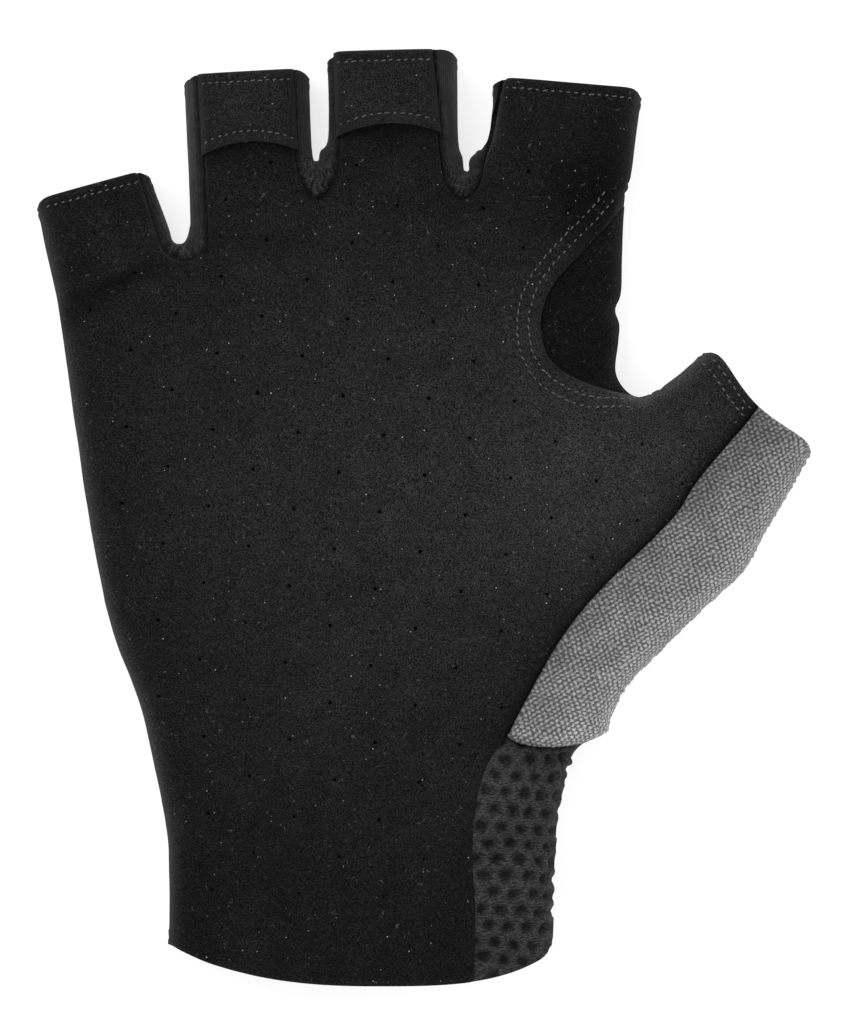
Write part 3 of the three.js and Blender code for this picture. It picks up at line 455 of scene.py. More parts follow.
back_hem_seam = chain([back_wrist_joint, mix(back_wrist_joint, hem_corner, 0.5), hem_corner], OUTLINE_STEP)
front_slot_seams = [slot_seam(slot, reveal) for slot, reveal in zip(slots, FRONT_REVEALS)]
back_slot_seams = [slot_seam(slot, BACK_REVEAL) for slot in slots]
thumb_inner_edge = crotch_chain[gusset_end:]
index_outer_edge = crotch_chain[: gusset_top + 1]
gusset_wrap_seam = np.vstack([gusset_edge[:1], inset(gusset_edge, GUSSET_WRAP)[1:-1], gusset_edge[-1:]])

# Regions of the two sides. A region may reach past the outline: only points inside it count.
DOWN = at(0, -1)
PAST = 2 * CORNER_DROP


def band(edge, seam, start_way, end_way):
    """The outline of the cloth between an edge and a seam, run on past both their ends."""
    start, end = start_way * PAST, end_way * PAST
    return [edge[0] + start, *edge, edge[-1] + end, seam[-1] + end, *seam[::-1], seam[0] + start]


def slot_regions(seams):
    for slot, seam in zip(slots, seams):
        left, right = slot.left_finger, slot.right_finger
        name = f"stretch_strip_{left.name}_{right.name}"
        yield name, band(slot.chain, seam.points, left.along, right.along)


def wrap_region(points, start_way, end_way):
    return "palm_panel", band(points, inset(points, EDGE_WRAP), start_way, end_way)


NOWHERE = at(0, 0)
thumb_outside = [*thumb_outer_chain[::-1], thumb.right + thumb.along * PAST]
front_thumb = [
    *hem_seam,
    *thumb_outside[1:],
    thumb_seam_end + thumb.along * PAST,
    *palm_to_thumb_seam[::-1],
]
below_cuff = [cuff_point(SEAM_AT_CUFF) + DOWN, cuff_right + CUFF_SAG * DOWN]
front_wrist = [*palm_to_back_seam, *below_cuff, *wrist_chain[::-1], *hem_seam[::-1]]
back_thumb = [
    *back_to_thumb_seam,
    *back_hem_seam[1:],
    *thumb_outside[1:],
    thumb.left + thumb.along * PAST,
    *thumb_inner_edge[::-1],
]
front_seams = {
    "slots": [seam.points for seam in front_slot_seams],
    "palm_to_back": [palm_to_back_seam],
    "palm_to_thumb": [palm_to_thumb_seam],
    "hem": [hem_seam],
    "gusset": [gusset_seam],
}
back_seams = {
    "slots": [seam.points for seam in back_slot_seams],
    "wraps": [
        inset(ulnar_chain, EDGE_WRAP),
        inset(index_outer_edge, EDGE_WRAP)[:-1],
        gusset_wrap_seam,
        inset(thumb_inner_edge, EDGE_WRAP)[1:],
    ],
    "back_to_thumb": [back_to_thumb_seam],
    "hem": [back_hem_seam],
}


def seam_shares(slot_seams, digit):
    """The shares at which the slots' seams end on a finger's mouth."""
    i = digits.index(digit)
    to_left = [slot_seams[i - 1].right_share] if 0 < i < 4 else []
    to_right = [slot_seams[i].left_share] if i < 3 else []
    return to_left + to_right


EXTRA_BACK_SHARES = {
    "little": [EDGE_WRAP / little.width],
    "index": [1 - EDGE_WRAP / index.width],
    "thumb": [EDGE_WRAP / thumb.width],
}
front = SimpleNamespace(
    is_front=True,
    rest="palm_panel",
    seams=front_seams,
    shares={
        d.name: seam_shares(front_slot_seams, d) + ([THUMB_SEAM_AT_MOUTH] if d is thumb else [])
        for d in digits
    },
    cuff_shares=[SEAM_AT_CUFF],
    regions=[
        *slot_regions(front_slot_seams),
        ("thumb_gusset", [*gusset_seam, *gusset_edge[1:-1][::-1]]),
        ("thumb_panel", front_thumb),
        ("back_panel", front_wrist),
    ],
)
back = SimpleNamespace(
    is_front=False,
    rest="back_panel",
    seams=back_seams,
    shares={d.name: seam_shares(back_slot_seams, d) + EXTRA_BACK_SHARES.get(d.name, []) for d in digits},
    cuff_shares=[EDGE_WRAP / CUFF_WIDTH],
    regions=[
        *slot_regions(back_slot_seams),
        wrap_region(ulnar_chain, DOWN, little.along),
        wrap_region(index_outer_edge, index.along, NOWHERE),
        wrap_region(thumb_inner_edge, NOWHERE, thumb.along),
        ("thumb_gusset", [*gusset_wrap_seam, *gusset_edge[1:-1][::-1]]),
        ("thumb_panel", back_thumb),
    ],
)
for side in (front, back):
    side.paths = [path for paths in side.seams.values() for path in paths]
    side.mouths = [
        np.array([mouth_point(d, share) for share in mouth_shares(d.width, side.shares[d.name])])
        for d in digits
    ]
    cuff = [cuff_point(share) for share in mouth_shares(CUFF_WIDTH, side.cuff_shares)]
    side.mouths.append(np.array(cuff[::-1]))
    side.outline = np.vstack([part for pair in zip(chains, side.mouths) for part in pair])


# Distances in plan
def is_inside(outline, points):
    outline = np.asarray(outline)
    inside = np.zeros(len(points), bool)
    x, y = points[:, 0], points[:, 1]
    for a, b in zip(outline, np.roll(outline, 1, axis=0)):
        if a[1] == b[1]:
            continue
        crosses = (a[1] > y) != (b[1] > y)
        inside ^= crosses & (x < (b[0] - a[0]) * (y - a[1]) / (b[1] - a[1]) + a[0])
    return inside


def nearest_on(paths, points):
    """Each point's distance to the nearest path, its foot there and the path's inward way."""
    best = np.full(len(points), np.inf)
    foot = np.zeros((len(points), 2))
    inward = np.zeros((len(points), 2))
    for path in paths:
        for a, b in zip(path, path[1:]):
            way = b - a
            length = max(np.hypot(*way), 1e-9)
            share = np.clip(((points - a) @ way) / length**2, 0, 1)
            x = a[0] + share * way[0]
            y = a[1] + share * way[1]
            square = (points[:, 0] - x) ** 2 + (points[:, 1] - y) ** 2
            closer = square < best
            best[closer] = square[closer]
            foot[closer, 0] = x[closer]
            foot[closer, 1] = y[closer]
            inward[closer] = way[1] / length, -way[0] / length
    return np.sqrt(best), foot, inward


def path_distance(paths, points):
    best = np.full(len(points), np.inf)
    for path in paths:
        for a, b in zip(path, path[1:]):
            way = b - a
            share = np.clip(((points - a) @ way) / max(way @ way, 1e-12), 0, 1)
            x = points[:, 0] - a[0] - share * way[0]
            y = points[:, 1] - a[1] - share * way[1]
            np.minimum(best, x * x + y * y, out=best)
    return np.sqrt(best)


# The smoothed distance to the outline's edges. Mouths count as open: the edges run on past them.
edge_parts = []
chain_ways = zip(chains, [DOWN, *(d.along for d in digits)], [*(d.along for d in digits), DOWN])
for points, start_way, end_way in chain_ways:
    ends = points[0] + start_way * EXTENSION, points[-1] + end_way * EXTENSION
    line = np.vstack([ends[:1], points, ends[1:]])
    edge_parts.extend(zip(line, line[1:]))


def edge_distance(points):
    total = np.zeros(len(points))
    for a, b in edge_parts:
        way = (b - a) / np.hypot(*(b - a))
        offset = points - a
        along = offset @ way
        aside = np.maximum((offset[:, 0] * way[1] - offset[:, 1] * way[0]) ** 2, 1e-6)
        far = np.hypot(*(b - a)) - along
        total += (far / np.sqrt(aside + far * far) + along / np.sqrt(aside + along * along)) / aside
    return np.sqrt(2 / total)


def noise(points, size, seed):
    """Smooth random heights from -1 to 1, of about that size in millimetres."""
    p = points / size + seed * 17.31
    cell = np.floor(p)
    part = smooth(p - cell)
    total = np.zeros(len(points))
    for i in (0, 1):
        for j in (0, 1):
            mixed = np.sin((cell[:, 0] + i) * 127.1 + (cell[:, 1] + j) * 311.7 + seed * 74.7) * 43758.5
            weight = np.abs(1 - i - part[:, 0]) * np.abs(1 - j - part[:, 1])
            total += weight * (mixed - np.floor(mixed))
    return total * 2 - 1


def fold_depth(points, folds):
    depth = np.zeros(len(points))
    for fold in folds:
        middle = at(KNUCKLE_CENTRE + fold.x * KNUCKLE_WIDTH, fold.y * PALM_LENGTH)
        offset = turned(points - middle, -fold.turn) / KNUCKLE_WIDTH
        depth += fold.depth * bell(offset[:, 0], fold.half_length) * bell(offset[:, 1], fold.half_width)
    return depth


def arc_lengths(run, rise):
    """How long the rounded edge is, by distance in plan: a table for np.interp."""
    angle = np.linspace(0, math.pi / 2, 200)
    plan = run * (1 - np.cos(angle))
    step = np.hypot(np.diff(plan), np.diff(rise * np.sin(angle)))
    return plan, np.concatenate([[0], np.cumsum(step)])


FRONT_ARC = arc_lengths(FRONT_ROUND, FINGER_RISE)
BACK_ARC = arc_lengths(BACK_ROUND, EDGE_HEIGHT)


def unrolled(distance, arc):
    return np.interp(distance, *arc) + np.maximum(distance - arc[0][-1], 0)


class Places:
    """Points of the glove's front or back in plan, and what lies near them."""

    def __init__(self, points, is_front):
        self.points = points
        self.is_front = is_front
        self.side = front if is_front else back
        self.edge, foot, inward = nearest_on(chains, points)
        clear = self.edge > 1e-3
        inward[clear] = (points[clear] - foot[clear]) / self.edge[clear][:, None]
        self.depth = edge_distance(points)
        self.mouth = path_distance(self.side.mouths, points)
        self.near = {name: path_distance(paths, points) for name, paths in self.side.seams.items()}
        self.near |= {"edge": self.edge, "mouth": self.mouth}
        self.unrolled = unrolled(self.edge, FRONT_ARC if is_front else BACK_ARC)
        front_spare = FRONT_ARC[1][-1] - FRONT_ROUND
        spare = front_spare if is_front else BACK_ARC[1][-1] - BACK_ROUND
        self.flat = foot + inward * (self.unrolled - spare)[:, None]
        self.wrapped = self.flat if is_front else foot - inward * (self.unrolled + front_spare)[:, None]

    def height(self):
        if not self.is_front:
            return EDGE_HEIGHT * (1 - dome(self.depth / BACK_ROUND))
        share = smooth((self.depth - RISE_STARTS) / (RISE_ENDS - RISE_STARTS))
        rise = mix(FINGER_RISE, PALM_RISE, share)
        return EDGE_HEIGHT + (rise - fold_depth(self.points, FOLDS)) * dome(self.depth / FRONT_ROUND)

    def pattern(self, function):
        """A pattern that runs over the glove's edge without a break."""
        blend = smooth((self.edge - 5) / 4)
        return mix(function(self.wrapped), function(self.flat), blend)


# Perforations
def points_along(path, distances):
    """The points of a path that lie that far from its start."""
    length = lengths_along(path)
    return np.stack([np.interp(distances, length, path[:, k]) for k in (0, 1)], axis=-1)


def tab_length(finger):
    return TABS[finger.name] * TAB_LENGTH


def tab_plan(finger, side, down, side_gap=TAB_SIDE_GAP):
    """A pull tab in plan, between its seams: side is from -1 to 1, down from mouth to lip."""
    i = fingers.index(finger)
    from_mouth = down * (tab_length(finger) - TAB_LIP_ARCH * (1 - side * side))
    left = points_along(front_slot_seams[i - 1].points[::-1], from_mouth)
    right = points_along(front_slot_seams[i].points, from_mouth)
    gap = side_gap / np.linalg.norm(right - left, axis=-1)
    share = mix(gap, 1 - gap, (side + 1) / 2)[..., None]
    mouth_share = mix(front_slot_seams[i - 1].right_share, front_slot_seams[i].left_share, share[..., 0])
    ends = front_slot_seams[i - 1].points[-1], front_slot_seams[i].points[0]
    rise = mouth_point(finger, mouth_share) - mix(*ends, share)
    return mix(left, right, share) + rise * bell(from_mouth, 3)[..., None]


def hole_middles():
    across = turned(at(HOLE_SPACING, 0), HOLE_ROW_TILT)
    lean = math.tan(math.radians(HOLE_COLUMN_LEAN))
    origin = at(*HOLE_ORIGIN) * PALM_LENGTH
    most = math.ceil(PALM_LENGTH / HOLE_ROW_PITCH)
    steps = [(i, j) for i in range(-most, most + 1) for j in range(-most, most + 1) if (i + j) % 2 == 0]
    points = np.array(
        [origin + across * i / 2 + HOLE_ROW_PITCH * at(abs(j) * lean, j) for i, j in steps]
    )
    keep = is_inside(front.outline, points)
    for _, outline in front.regions:
        keep &= ~is_inside(outline, points)
    for finger in tabbed_fingers:
        corners = tab_plan(finger, np.array([-1, 1, 1, -1]), np.array([0, 0, 1, 1]))
        keep &= ~is_inside(corners, points)
    keep &= path_distance(chains, points) >= HOLE_CLEARANCE_EDGE
    keep &= path_distance(front.paths, points) >= HOLE_CLEARANCE_SEAM
    keep &= path_distance([gusset_seam], points) >= HOLE_CLEARANCE_GUSSET
    keep &= path_distance(front.mouths, points) >= HOLE_CLEARANCE_HEM
    return points[keep]


front.holes, back.holes = hole_middles(), []


# Relief of each panel, in millimetres out of the plain skin. Ridges and grooves run along seams,
# edges and mouths. Columns: along which one, how far from it, half width and height.
SLOT_GROOVE = [("slots", 0, 0.6, -0.7), ("slots", 0, 2.4, -0.4)]
PALM_RIDGES = [
    *SLOT_GROOVE,
    ("palm_to_thumb", 0, 1.25, -1.2),
    ("palm_to_thumb", 3, 1.4, 0.25),
    ("palm_to_back", 1.4, 1.5, 0.3),
    ("palm_to_back", 0, 0.5, -0.5),
]
PALM_WRAP_RIDGES = [("wraps", 0, 0.6, -0.5)]
GUSSET_LIP_RIDGES = [("gusset", 1.4, 1.5, 0.5), ("gusset", 0, 0.45, -0.45)]
GUSSET_WRAP_RIDGES = [("wraps", 0, 0.7, -0.5)]
WRIST_RIDGES = [("hem", 0, 1.3, -1.1), ("palm_to_back", 0, 1.2, -0.7)]
BACK_RIDGES = [
    ("slots", 0, 1, -0.55),
    ("wraps", 0, 1, -0.55),
    ("back_to_thumb", 0, 1, -0.55),
    ("hem", 0, 1, -0.7),
]
THUMB_RIDGES = [
    ("palm_to_thumb", 0, 0.9, -0.5),
    ("hem", 1.2, 1.2, 0.35),
    ("hem", 0, 0.4, -0.5),
    ("hem", 3.4, 0.7, -0.2),
]
THUMB_BACK_RIDGES = [("back_to_thumb", 0, 0.9, -0.6), ("hem", 0, 0.5, -0.5), ("wraps", 0, 0.8, -0.55)]
STRIP_RIDGES = [("slots", 0, 0.5, -0.85), ("slots", 0, 1.6, -0.25), ("slots", 0.75, 0.3, 0.3)]


def ridges(near, rows):
    return sum(height * bell(near[line] - away, width) for line, away, width, height in rows)


def ripple(places, seed):
    slow = places.pattern(lambda p: noise(p, 26, seed) + 0.5 * noise(p, 11, seed + 1))
    fine = places.pattern(lambda p: noise(p, 4.2, seed + 2) + 0.5 * noise(p, 2, seed + 3))
    return 0.22 * slow + 0.05 * fine


def hole_dips(points):
    square = np.full(len(points), np.inf)
    for middle in front.holes:
        np.minimum(square, ((points - middle) ** 2).sum(axis=1), out=square)
    return 0.4 * bell(np.sqrt(square), 0.62)


STITCH_PITCH = 1.4
HEM_STITCH = 1.85
THUMB_HEM_ROWS = ((1.3, 0.505), (3.1, 0.53))
GUSSET_ROWS = (2.3, 4.3)


def hem_relief(places):
    """A folded hem, a little thicker, with a groove under its stitches."""
    m = places.mouth
    lumps = 0.09 * noise(places.points, 1.5, 82) * bell(m, 1.2)
    return 0.22 * (1 - smooth((m - 2.4) / 1.1)) - 0.2 * bell(m - HEM_STITCH, 0.42) + lumps


def palm_relief(places):
    relief = ripple(places, 1) + hem_relief(places)
    if not places.is_front:
        return relief + ridges(places.near, PALM_WRAP_RIDGES)
    relief -= fold_depth(places.points, CREASES) * smooth(places.edge / 3)
    relief += ridges(places.near, PALM_RIDGES) + ridges(places.near, GUSSET_LIP_RIDGES) * smooth(places.edge / 2.5)
    relief += ridges(places.near, [("gusset", row, 0.4, -0.26) for row in GUSSET_ROWS])
    return relief - hole_dips(places.points)


# Waves across the cloth, in turns a millimetre along x and y: the pits of the dimpled knit and
# the loops of the grey knit lie where each one's three waves meet.
DIMPLE_WAVES = [(0.285, 0.13), (0.265, -0.2), (0.02, 0.33)]
LOOP_WAVES = [(0.69, -1.06), (1.08, 0.35), (0.39, 1.41)]
LOOP_WEIGHTS = (1, 0.85, 0.6)
# How unevenly the loops lie: the size of the noise, and how far it moves them.
LOOP_SHIFT = (1.7, 0.22)


def shifted(points, size, most):
    """The points, moved about unevenly by up to that much."""
    return points + most * np.stack([noise(points, size, 40), noise(points, size, 41)], axis=1)


def dimples(points):
    """Pits on a slanting lattice, from 0 to 1."""
    p = shifted(shifted(points, 9, 0.7), 3.2, 0.4)
    total = sum(np.cos(2 * math.pi * (p @ wave)) for wave in DIMPLE_WAVES) / 3
    return smooth((total + 0.36 + 0.12 * noise(points, 2.4, 42)) / 1.12)


def back_relief(places):
    near = places.near
    pits = places.pattern(dimples)
    relief = 0.5 * ripple(places, 5) + 0.3
    fade = smooth((places.mouth - 0.8) / 2)
    if places.is_front:
        fade *= smooth((near["palm_to_back"] - 0.2) / 1)
        relief += 0.5 * np.sin(2 * math.pi * near["hem"] / 2.3) * bell(near["hem"] - 2.5, 3.2)
    relief += ridges(places.near, WRIST_RIDGES if places.is_front else BACK_RIDGES)
    return relief - 1.1 * pits * fade + 0.5 * hem_relief(places)


def loops(points):
    """Heads of the knit's loops, from 0 to 1."""
    waves = zip(LOOP_WAVES, LOOP_WEIGHTS)
    p = shifted(points, *LOOP_SHIFT)
    total = sum(weight * np.cos(2 * math.pi * (p @ wave)) for wave, weight in waves)
    return (total / sum(LOOP_WEIGHTS) + 0.5) / 1.5


def thumb_relief(places):
    size = 0.32 * smooth((places.mouth - 0.4) / 1.2)
    relief = 0.6 * ripple(places, 9) + 0.3 + size * (places.pattern(loops) - 0.6)
    relief += ridges(places.near, THUMB_RIDGES if places.is_front else THUMB_BACK_RIDGES)
    return relief + 0.6 * hem_relief(places)


def gusset_relief(places):
    relief = 0.8 * ripple(places, 13)
    if places.is_front:
        return relief - bell(places.near["gusset"], 2.2) * smooth(places.edge / 2)
    return relief + ridges(places.near, GUSSET_WRAP_RIDGES)


RIB_PITCH = 0.52
GATHERS_ROUND = 34


def crotch_gathers(places):
    """Radial gathers between the bottom of each slot and its seam, from -1 to 1."""
    gathers = np.zeros(len(places.points))
    for slot in slots:
        offset = places.points - at((slot.left + slot.right) / 2, slot.bottom + 1)
        distance = np.hypot(*offset.T)
        angle = np.arctan2(offset[:, 0], -offset[:, 1])
        wander = 0.12 * noise(places.points, 1.5, 71)
        lines = np.cos((angle + wander) * GATHERS_ROUND)
        gathers += lines * bell(angle, 1.5) * smooth((10 - distance) / 4)
    return gathers * bell(places.near["slots"] - 1, 2) * smooth(places.edge / 0.8)


def tucked(places):
    """Where the last strip runs up the index finger, out of sight under the palm's suede."""
    x, y = places.points.T
    return smooth((x - index.root_left + 1) * 2) * smooth((y - slots[2].bottom - 3) / 2)


def strip_relief(places):
    sewn = ridges(places.near, STRIP_RIDGES) * (1 - 0.7 * tucked(places))
    return 0.5 * ripple(places, 17) + 0.3 * crotch_gathers(places) + sewn + 0.5 * hem_relief(places)


# Tone of each panel's cloth: a factor for its colour, which also holds painted shade and painted highlights
def fold_painted_light_and_shade(points):
    """Painted shade down in the folds, and a painted highlight where they face the upper left."""
    way = at(-0.9, 0.9)
    behind, ahead = (fold_depth(points + k * way, FOLDS + CREASES) for k in (-1, 1))
    here = fold_depth(points, CREASES) + 0.35 * fold_depth(points, FOLDS)
    return 1 - 0.4 * np.clip(here, -1, 1.3) + 0.12 * (ahead - behind)


# Patches of painted light and shade on the palm: x and y in plan, size and tone added. Bands along seams, edges
# and mouths have the columns of the ridges, with a tone for the height; most bands are painted shade down in seams
# and hems, or a painted highlight along the rounded edge.
PALM_LIGHT_AND_SHADE_PATCHES = [(7, 88, 44, 0.52), (52, 97, 27, 0.8), (42, 143, 11, -0.4)]
PALM_SEAM_SHADE_BANDS = [("palm_to_thumb", 0, 1.5, -0.4), ("palm_to_thumb", 0, 5, -0.3)]
PALM_RIM_LIGHT_AND_SHADE_BANDS = [("edge", 0, 1.7, 1.6), ("edge", 6, 4, -0.12)]
PALM_SLOT_SHADE_BANDS = [("slots", 0, 0.5, -0.5)]
PALM_MOUTH_BANDS = [("mouth", 0, 0.8, 0.5)]
BACK_HEM_SHADOW_BANDS = [("hem", 0, 1.5, -0.5)]
WRIST_BANDS = [("palm_to_back", 1.5, 2, 0.15)]
THUMB_LIGHT_AND_SHADE_BANDS = [("palm_to_thumb", 0, 4, -0.26), ("hem", 0, 0.5, -0.35), ("edge", 0, 3.5, 0.55)]
GUSSET_RIM_HIGHLIGHT_BANDS = [("edge", 0, 1.5, 1.8)]
STRIP_LIGHT_AND_SHADE_BANDS = [("slots", 0, 0.75, -1), ("slots", 0.8, 0.25, 0.25), ("edge", 0, 1.2, 0.3)]


def palm_tone(places):
    x, y = places.points.T
    # Painted shade darkens the palm towards the cuff, and the patches add painted light and shade.
    tone = 0.47 - 0.08 * smooth((42 - y) / 25)
    tone += sum(added * bell(np.hypot(x - px, y - py), size) for px, py, size, added in PALM_LIGHT_AND_SHADE_PATCHES)
    tone += 0.05 * places.pattern(lambda p: noise(p, 14, 21) + noise(p, 5, 22))
    if places.is_front:
        # Painted shadow below each pull tab's lip.
        for finger in tabbed_fingers:
            lip = tab_plan(finger, np.linspace(-0.9, 0.9, 7), np.ones(7))
            tone -= 0.15 * bell(path_distance([lip], places.points), 5)
        # Painted shade down the seams to the thumb and the slots, and a painted highlight along the rounded edge,
        # with painted shade a little further in.
        for bands in (PALM_SEAM_SHADE_BANDS, PALM_RIM_LIGHT_AND_SHADE_BANDS, PALM_SLOT_SHADE_BANDS):
            tone *= 1 + ridges(places.near, bands)
        tone *= fold_painted_light_and_shade(places.points)
    return tone * (1 + ridges(places.near, PALM_MOUTH_BANDS))


def back_tone(places):
    # Painted shade down in the dimples.
    tone = 1.02 - 0.82 * places.pattern(dimples) + 0.1 * places.pattern(lambda p: noise(p, 9, 23))
    if places.is_front:
        tone += ridges(places.near, WRIST_BANDS) * smooth((20 - places.near["hem"]) / 15)
    # Painted shadow along the hem, under the thumb panel's folded edge.
    return tone + ridges(places.near, BACK_HEM_SHADOW_BANDS)


def thumb_tone(places):
    tone = 0.8 + 0.1 * places.pattern(lambda p: noise(p, 2.5, 31))
    if places.is_front:
        y = places.points[:, 1]
        # Painted shade down the seam to the palm and under the hem, and a painted highlight along the rounded
        # edge.
        tone += 0.18 + ridges(places.near, THUMB_LIGHT_AND_SHADE_BANDS)
        tone += 0.1 * smooth((62 - y) / 15) - 0.2 * smooth((y - 76) / 20)
    return tone


def gusset_tone(places):
    clouds = places.pattern(lambda p: noise(p, 6, 25) + 0.7 * noise(p, 2.4, 26))
    # A painted highlight along the rounded edge.
    return 1 + 0.15 * clouds + ridges(places.near, GUSSET_RIM_HIGHLIGHT_BANDS)


def strip_tone(places):
    # Painted shade and highlight follow the gathers at the crotch; painted shade down the seams, and a painted
    # highlight on the ridge beside them and along the edge.
    tone = 1.02 + 0.9 * crotch_gathers(places) + ridges(places.near, STRIP_LIGHT_AND_SHADE_BANDS)
    # Painted shade where the strip tucks under the palm's suede.
    return np.clip(tone, 0.03, 2.2) * (1 - 0.6 * tucked(places))


# The outer skin: one mesh of both sides, cut along its seams
class Cloud:
    """Points in plan that keep their distance from one another."""

    CELL = 0.9

    def __init__(self):
        self.points = []
        self.cells = {}
        self.keys = {}

    def put(self, p):
        """Adds a point, or finds the one that is already there, and returns its number."""
        key = round(p[0], 3), round(p[1], 3)
        if key not in self.keys:
            self.keys[key] = len(self.points)
            cell = int(p[0] // self.CELL), int(p[1] // self.CELL)
            self.cells.setdefault(cell, []).append((p[0], p[1]))
            self.points.append((p[0], p[1]))
        return self.keys[key]

    def offer(self, points, gap):
        for x, y in points:
            i, j = int(x // self.CELL), int(y // self.CELL)
            close = (
                (x - a) ** 2 + (y - b) ** 2 < gap * gap
                for k in (i - 1, i, i + 1)
                for m in (j - 1, j, j + 1)
                for a, b in self.cells.get((k, m), ())
            )
            if not any(close):
                self.put((x, y))


def lattice(outline, step):
    """A lattice of triangles over the outline's box."""
    low, high = np.min(outline, axis=0), np.max(outline, axis=0)
    rows = np.arange(low[1], high[1], step * math.sqrt(0.75))
    columns = np.arange(low[0], high[0], step)
    x, y = np.meshgrid(columns, rows)
    x[1::2] += step / 2
    return np.column_stack([x.ravel(), y.ravel()])


def doubled_areas(points, faces):
    a, b, c = (points[faces[:, k]] for k in range(3))
    return (b[:, 0] - a[:, 0]) * (c[:, 1] - a[:, 1]) - (b[:, 1] - a[:, 1]) * (c[:, 0] - a[:, 0])


# Slivers are left out of the mesh: triangles whose doubled area is no more than this.
LEAST_AREA = 3e-4


def triangulate(side):
    """The side's points in plan, its triangles and the panel of each."""
    cloud = Cloud()
    edges = []

    def draw(points, closed=False):
        numbers = [cloud.put(p) for p in points]
        edges.extend(zip(numbers, numbers[1:] + numbers[:1] if closed else numbers[1:]))

    def inside(points):
        return points[is_inside(side.outline, points)]

    for points in chains:
        for p in points:
            cloud.put(p)
    silhouette_count = len(cloud.points)
    draw(side.outline, closed=True)
    for seam in side.paths:
        draw(seam)
    for middle in side.holes:
        for radius, count in HOLE_RINGS:
            angles = np.linspace(0, 2 * math.pi, count, endpoint=False)
            ring_points = middle + radius * np.stack([np.cos(angles), np.sin(angles)], axis=1)
            if radius == HOLE_RADIUS:
                draw(ring_points, closed=True)
            else:
                cloud.offer(ring_points, HOLE_GAP)
    run = FRONT_ROUND if side is front else BACK_ROUND
    for k in range(1, EDGE_ROWS + 1):
        distance = run * (1 - math.cos(math.radians(EDGE_ROW_TURN * k)))
        gap = CLOSE_EDGE_GROWTH * distance + CLOSE_EDGE_GAP if k <= CLOSE_EDGE_ROWS else EDGE_GAP
        for points in chains:
            cloud.offer(inside(inset(points, distance)), gap)
    for seam in side.paths:
        for distance in SEAM_ROWS:
            for way in (-1, 1):
                cloud.offer(inside(inset(seam, way * distance)), SEAM_GAP)
    if side is front:
        for row in GUSSET_ROWS:
            for distance in STITCH_ROWS:
                cloud.offer(inside(inset(gusset_seam, row + distance)), STITCH_GAP)
    for mouth in side.mouths:
        for distance in MOUTH_ROWS:
            cloud.offer(inside(inset(mouth, distance)), MOUTH_GAP)
    for name, outline in side.regions:
        step = SPACING[name]
        points = lattice(outline, step)
        cloud.offer(inside(points[is_inside(outline, points)]), LATTICE_GAP * step)
    points = inside(lattice(side.outline, SPACING[side.rest]))
    for _, outline in side.regions:
        points = points[~is_inside(outline, points)]
    for middle in side.holes:
        points = points[np.hypot(*(points - middle).T) > HOLE_RADIUS]
    cloud.offer(points, LATTICE_GAP * SPACING[side.rest])

    verts = [Vector(p) for p in cloud.points]
    made, _, faces, sources, _, _ = geometry.delaunay_2d_cdt(verts, edges, [], 0, 1e-5, True)
    exact = np.array(cloud.points)
    points = np.array([exact[s[0]] if s else tuple(v) for v, s in zip(made, sources)])
    silhouette = np.array([min((k for k in s if k < silhouette_count), default=-1) for s in sources])
    faces = np.array([tuple(face) for face in faces])
    middles = points[faces].mean(axis=1)
    keep = is_inside(side.outline, middles) & (abs(doubled_areas(points, faces)) > LEAST_AREA)
    for middle in side.holes:
        keep &= np.hypot(*(middles - middle).T) > HOLE_RADIUS * 0.9
    faces, middles = faces[keep], middles[keep]
    panels = np.full(len(faces), side.rest, dtype=object)
    for name, outline in reversed(side.regions):
        panels[is_inside(outline, middles)] = name
    return points, silhouette, faces, panels


def build_skin():
    """Both sides in one mesh, whose silhouette's points they share."""
    skin = SimpleNamespace()
    silhouette_plan = np.vstack(chains)
    offset = len(silhouette_plan)
    plans, sides, triangles, panels = [silhouette_plan], [], [], []
    for side in (front, back):
        points, silhouette, faces, names = triangulate(side)
        own = silhouette < 0
        number = np.where(own, offset + np.cumsum(own) - 1, silhouette)
        plans.append(points[own])
        offset += own.sum()
        turned_round = (doubled_areas(points, faces) > 0) != side.is_front
        faces = np.where(turned_round[:, None], faces[:, ::-1], faces)
        triangles.append(number[faces])
        panels.append(names)
        sides.append(np.full(len(faces), side.is_front))
    skin.plan = np.vstack(plans)
    skin.faces = np.vstack(triangles)
    skin.panels = np.concatenate(panels)
    skin.is_front = np.concatenate(sides)
    front_numbers = np.arange(len(plans[0]) + len(plans[1]))
    back_numbers = np.concatenate(
        [np.arange(len(silhouette_plan)), np.arange(len(front_numbers), len(skin.plan))]
    )
    skin.places, skin.flats = [], []
    z = np.zeros(len(skin.plan))
    for is_front, numbers in ((True, front_numbers), (False, back_numbers)):
        places = Places(skin.plan[numbers], is_front)
        skin.places.append((places, numbers))
        z[numbers] = places.height()
        flat = np.zeros_like(skin.plan)
        flat[numbers] = places.flat
        skin.flats.append(flat)
    z[: len(silhouette_plan)] = EDGE_HEIGHT
    skin.base = np.column_stack([skin.plan, z])
    a, b, c = (skin.base[skin.faces[:, k]] for k in range(3))
    face_normals = np.cross(b - a, c - a)
    skin.normals = np.zeros_like(skin.base)
    for k in range(3):
        np.add.at(skin.normals, skin.faces[:, k], face_normals)
    ways = [*(d.along for d in digits), DOWN]
    for i, side_chain in enumerate(chains):
        start = sum(len(points) for points in chains[:i])
        for number, way in ((start, ways[i - 1]), (start + len(side_chain) - 1, ways[i])):
            normal = skin.normals[number, :2]
            skin.normals[number, :2] = normal - way * (normal @ way)
    skin.normals = unit(skin.normals)
    return skin


skin = build_skin()

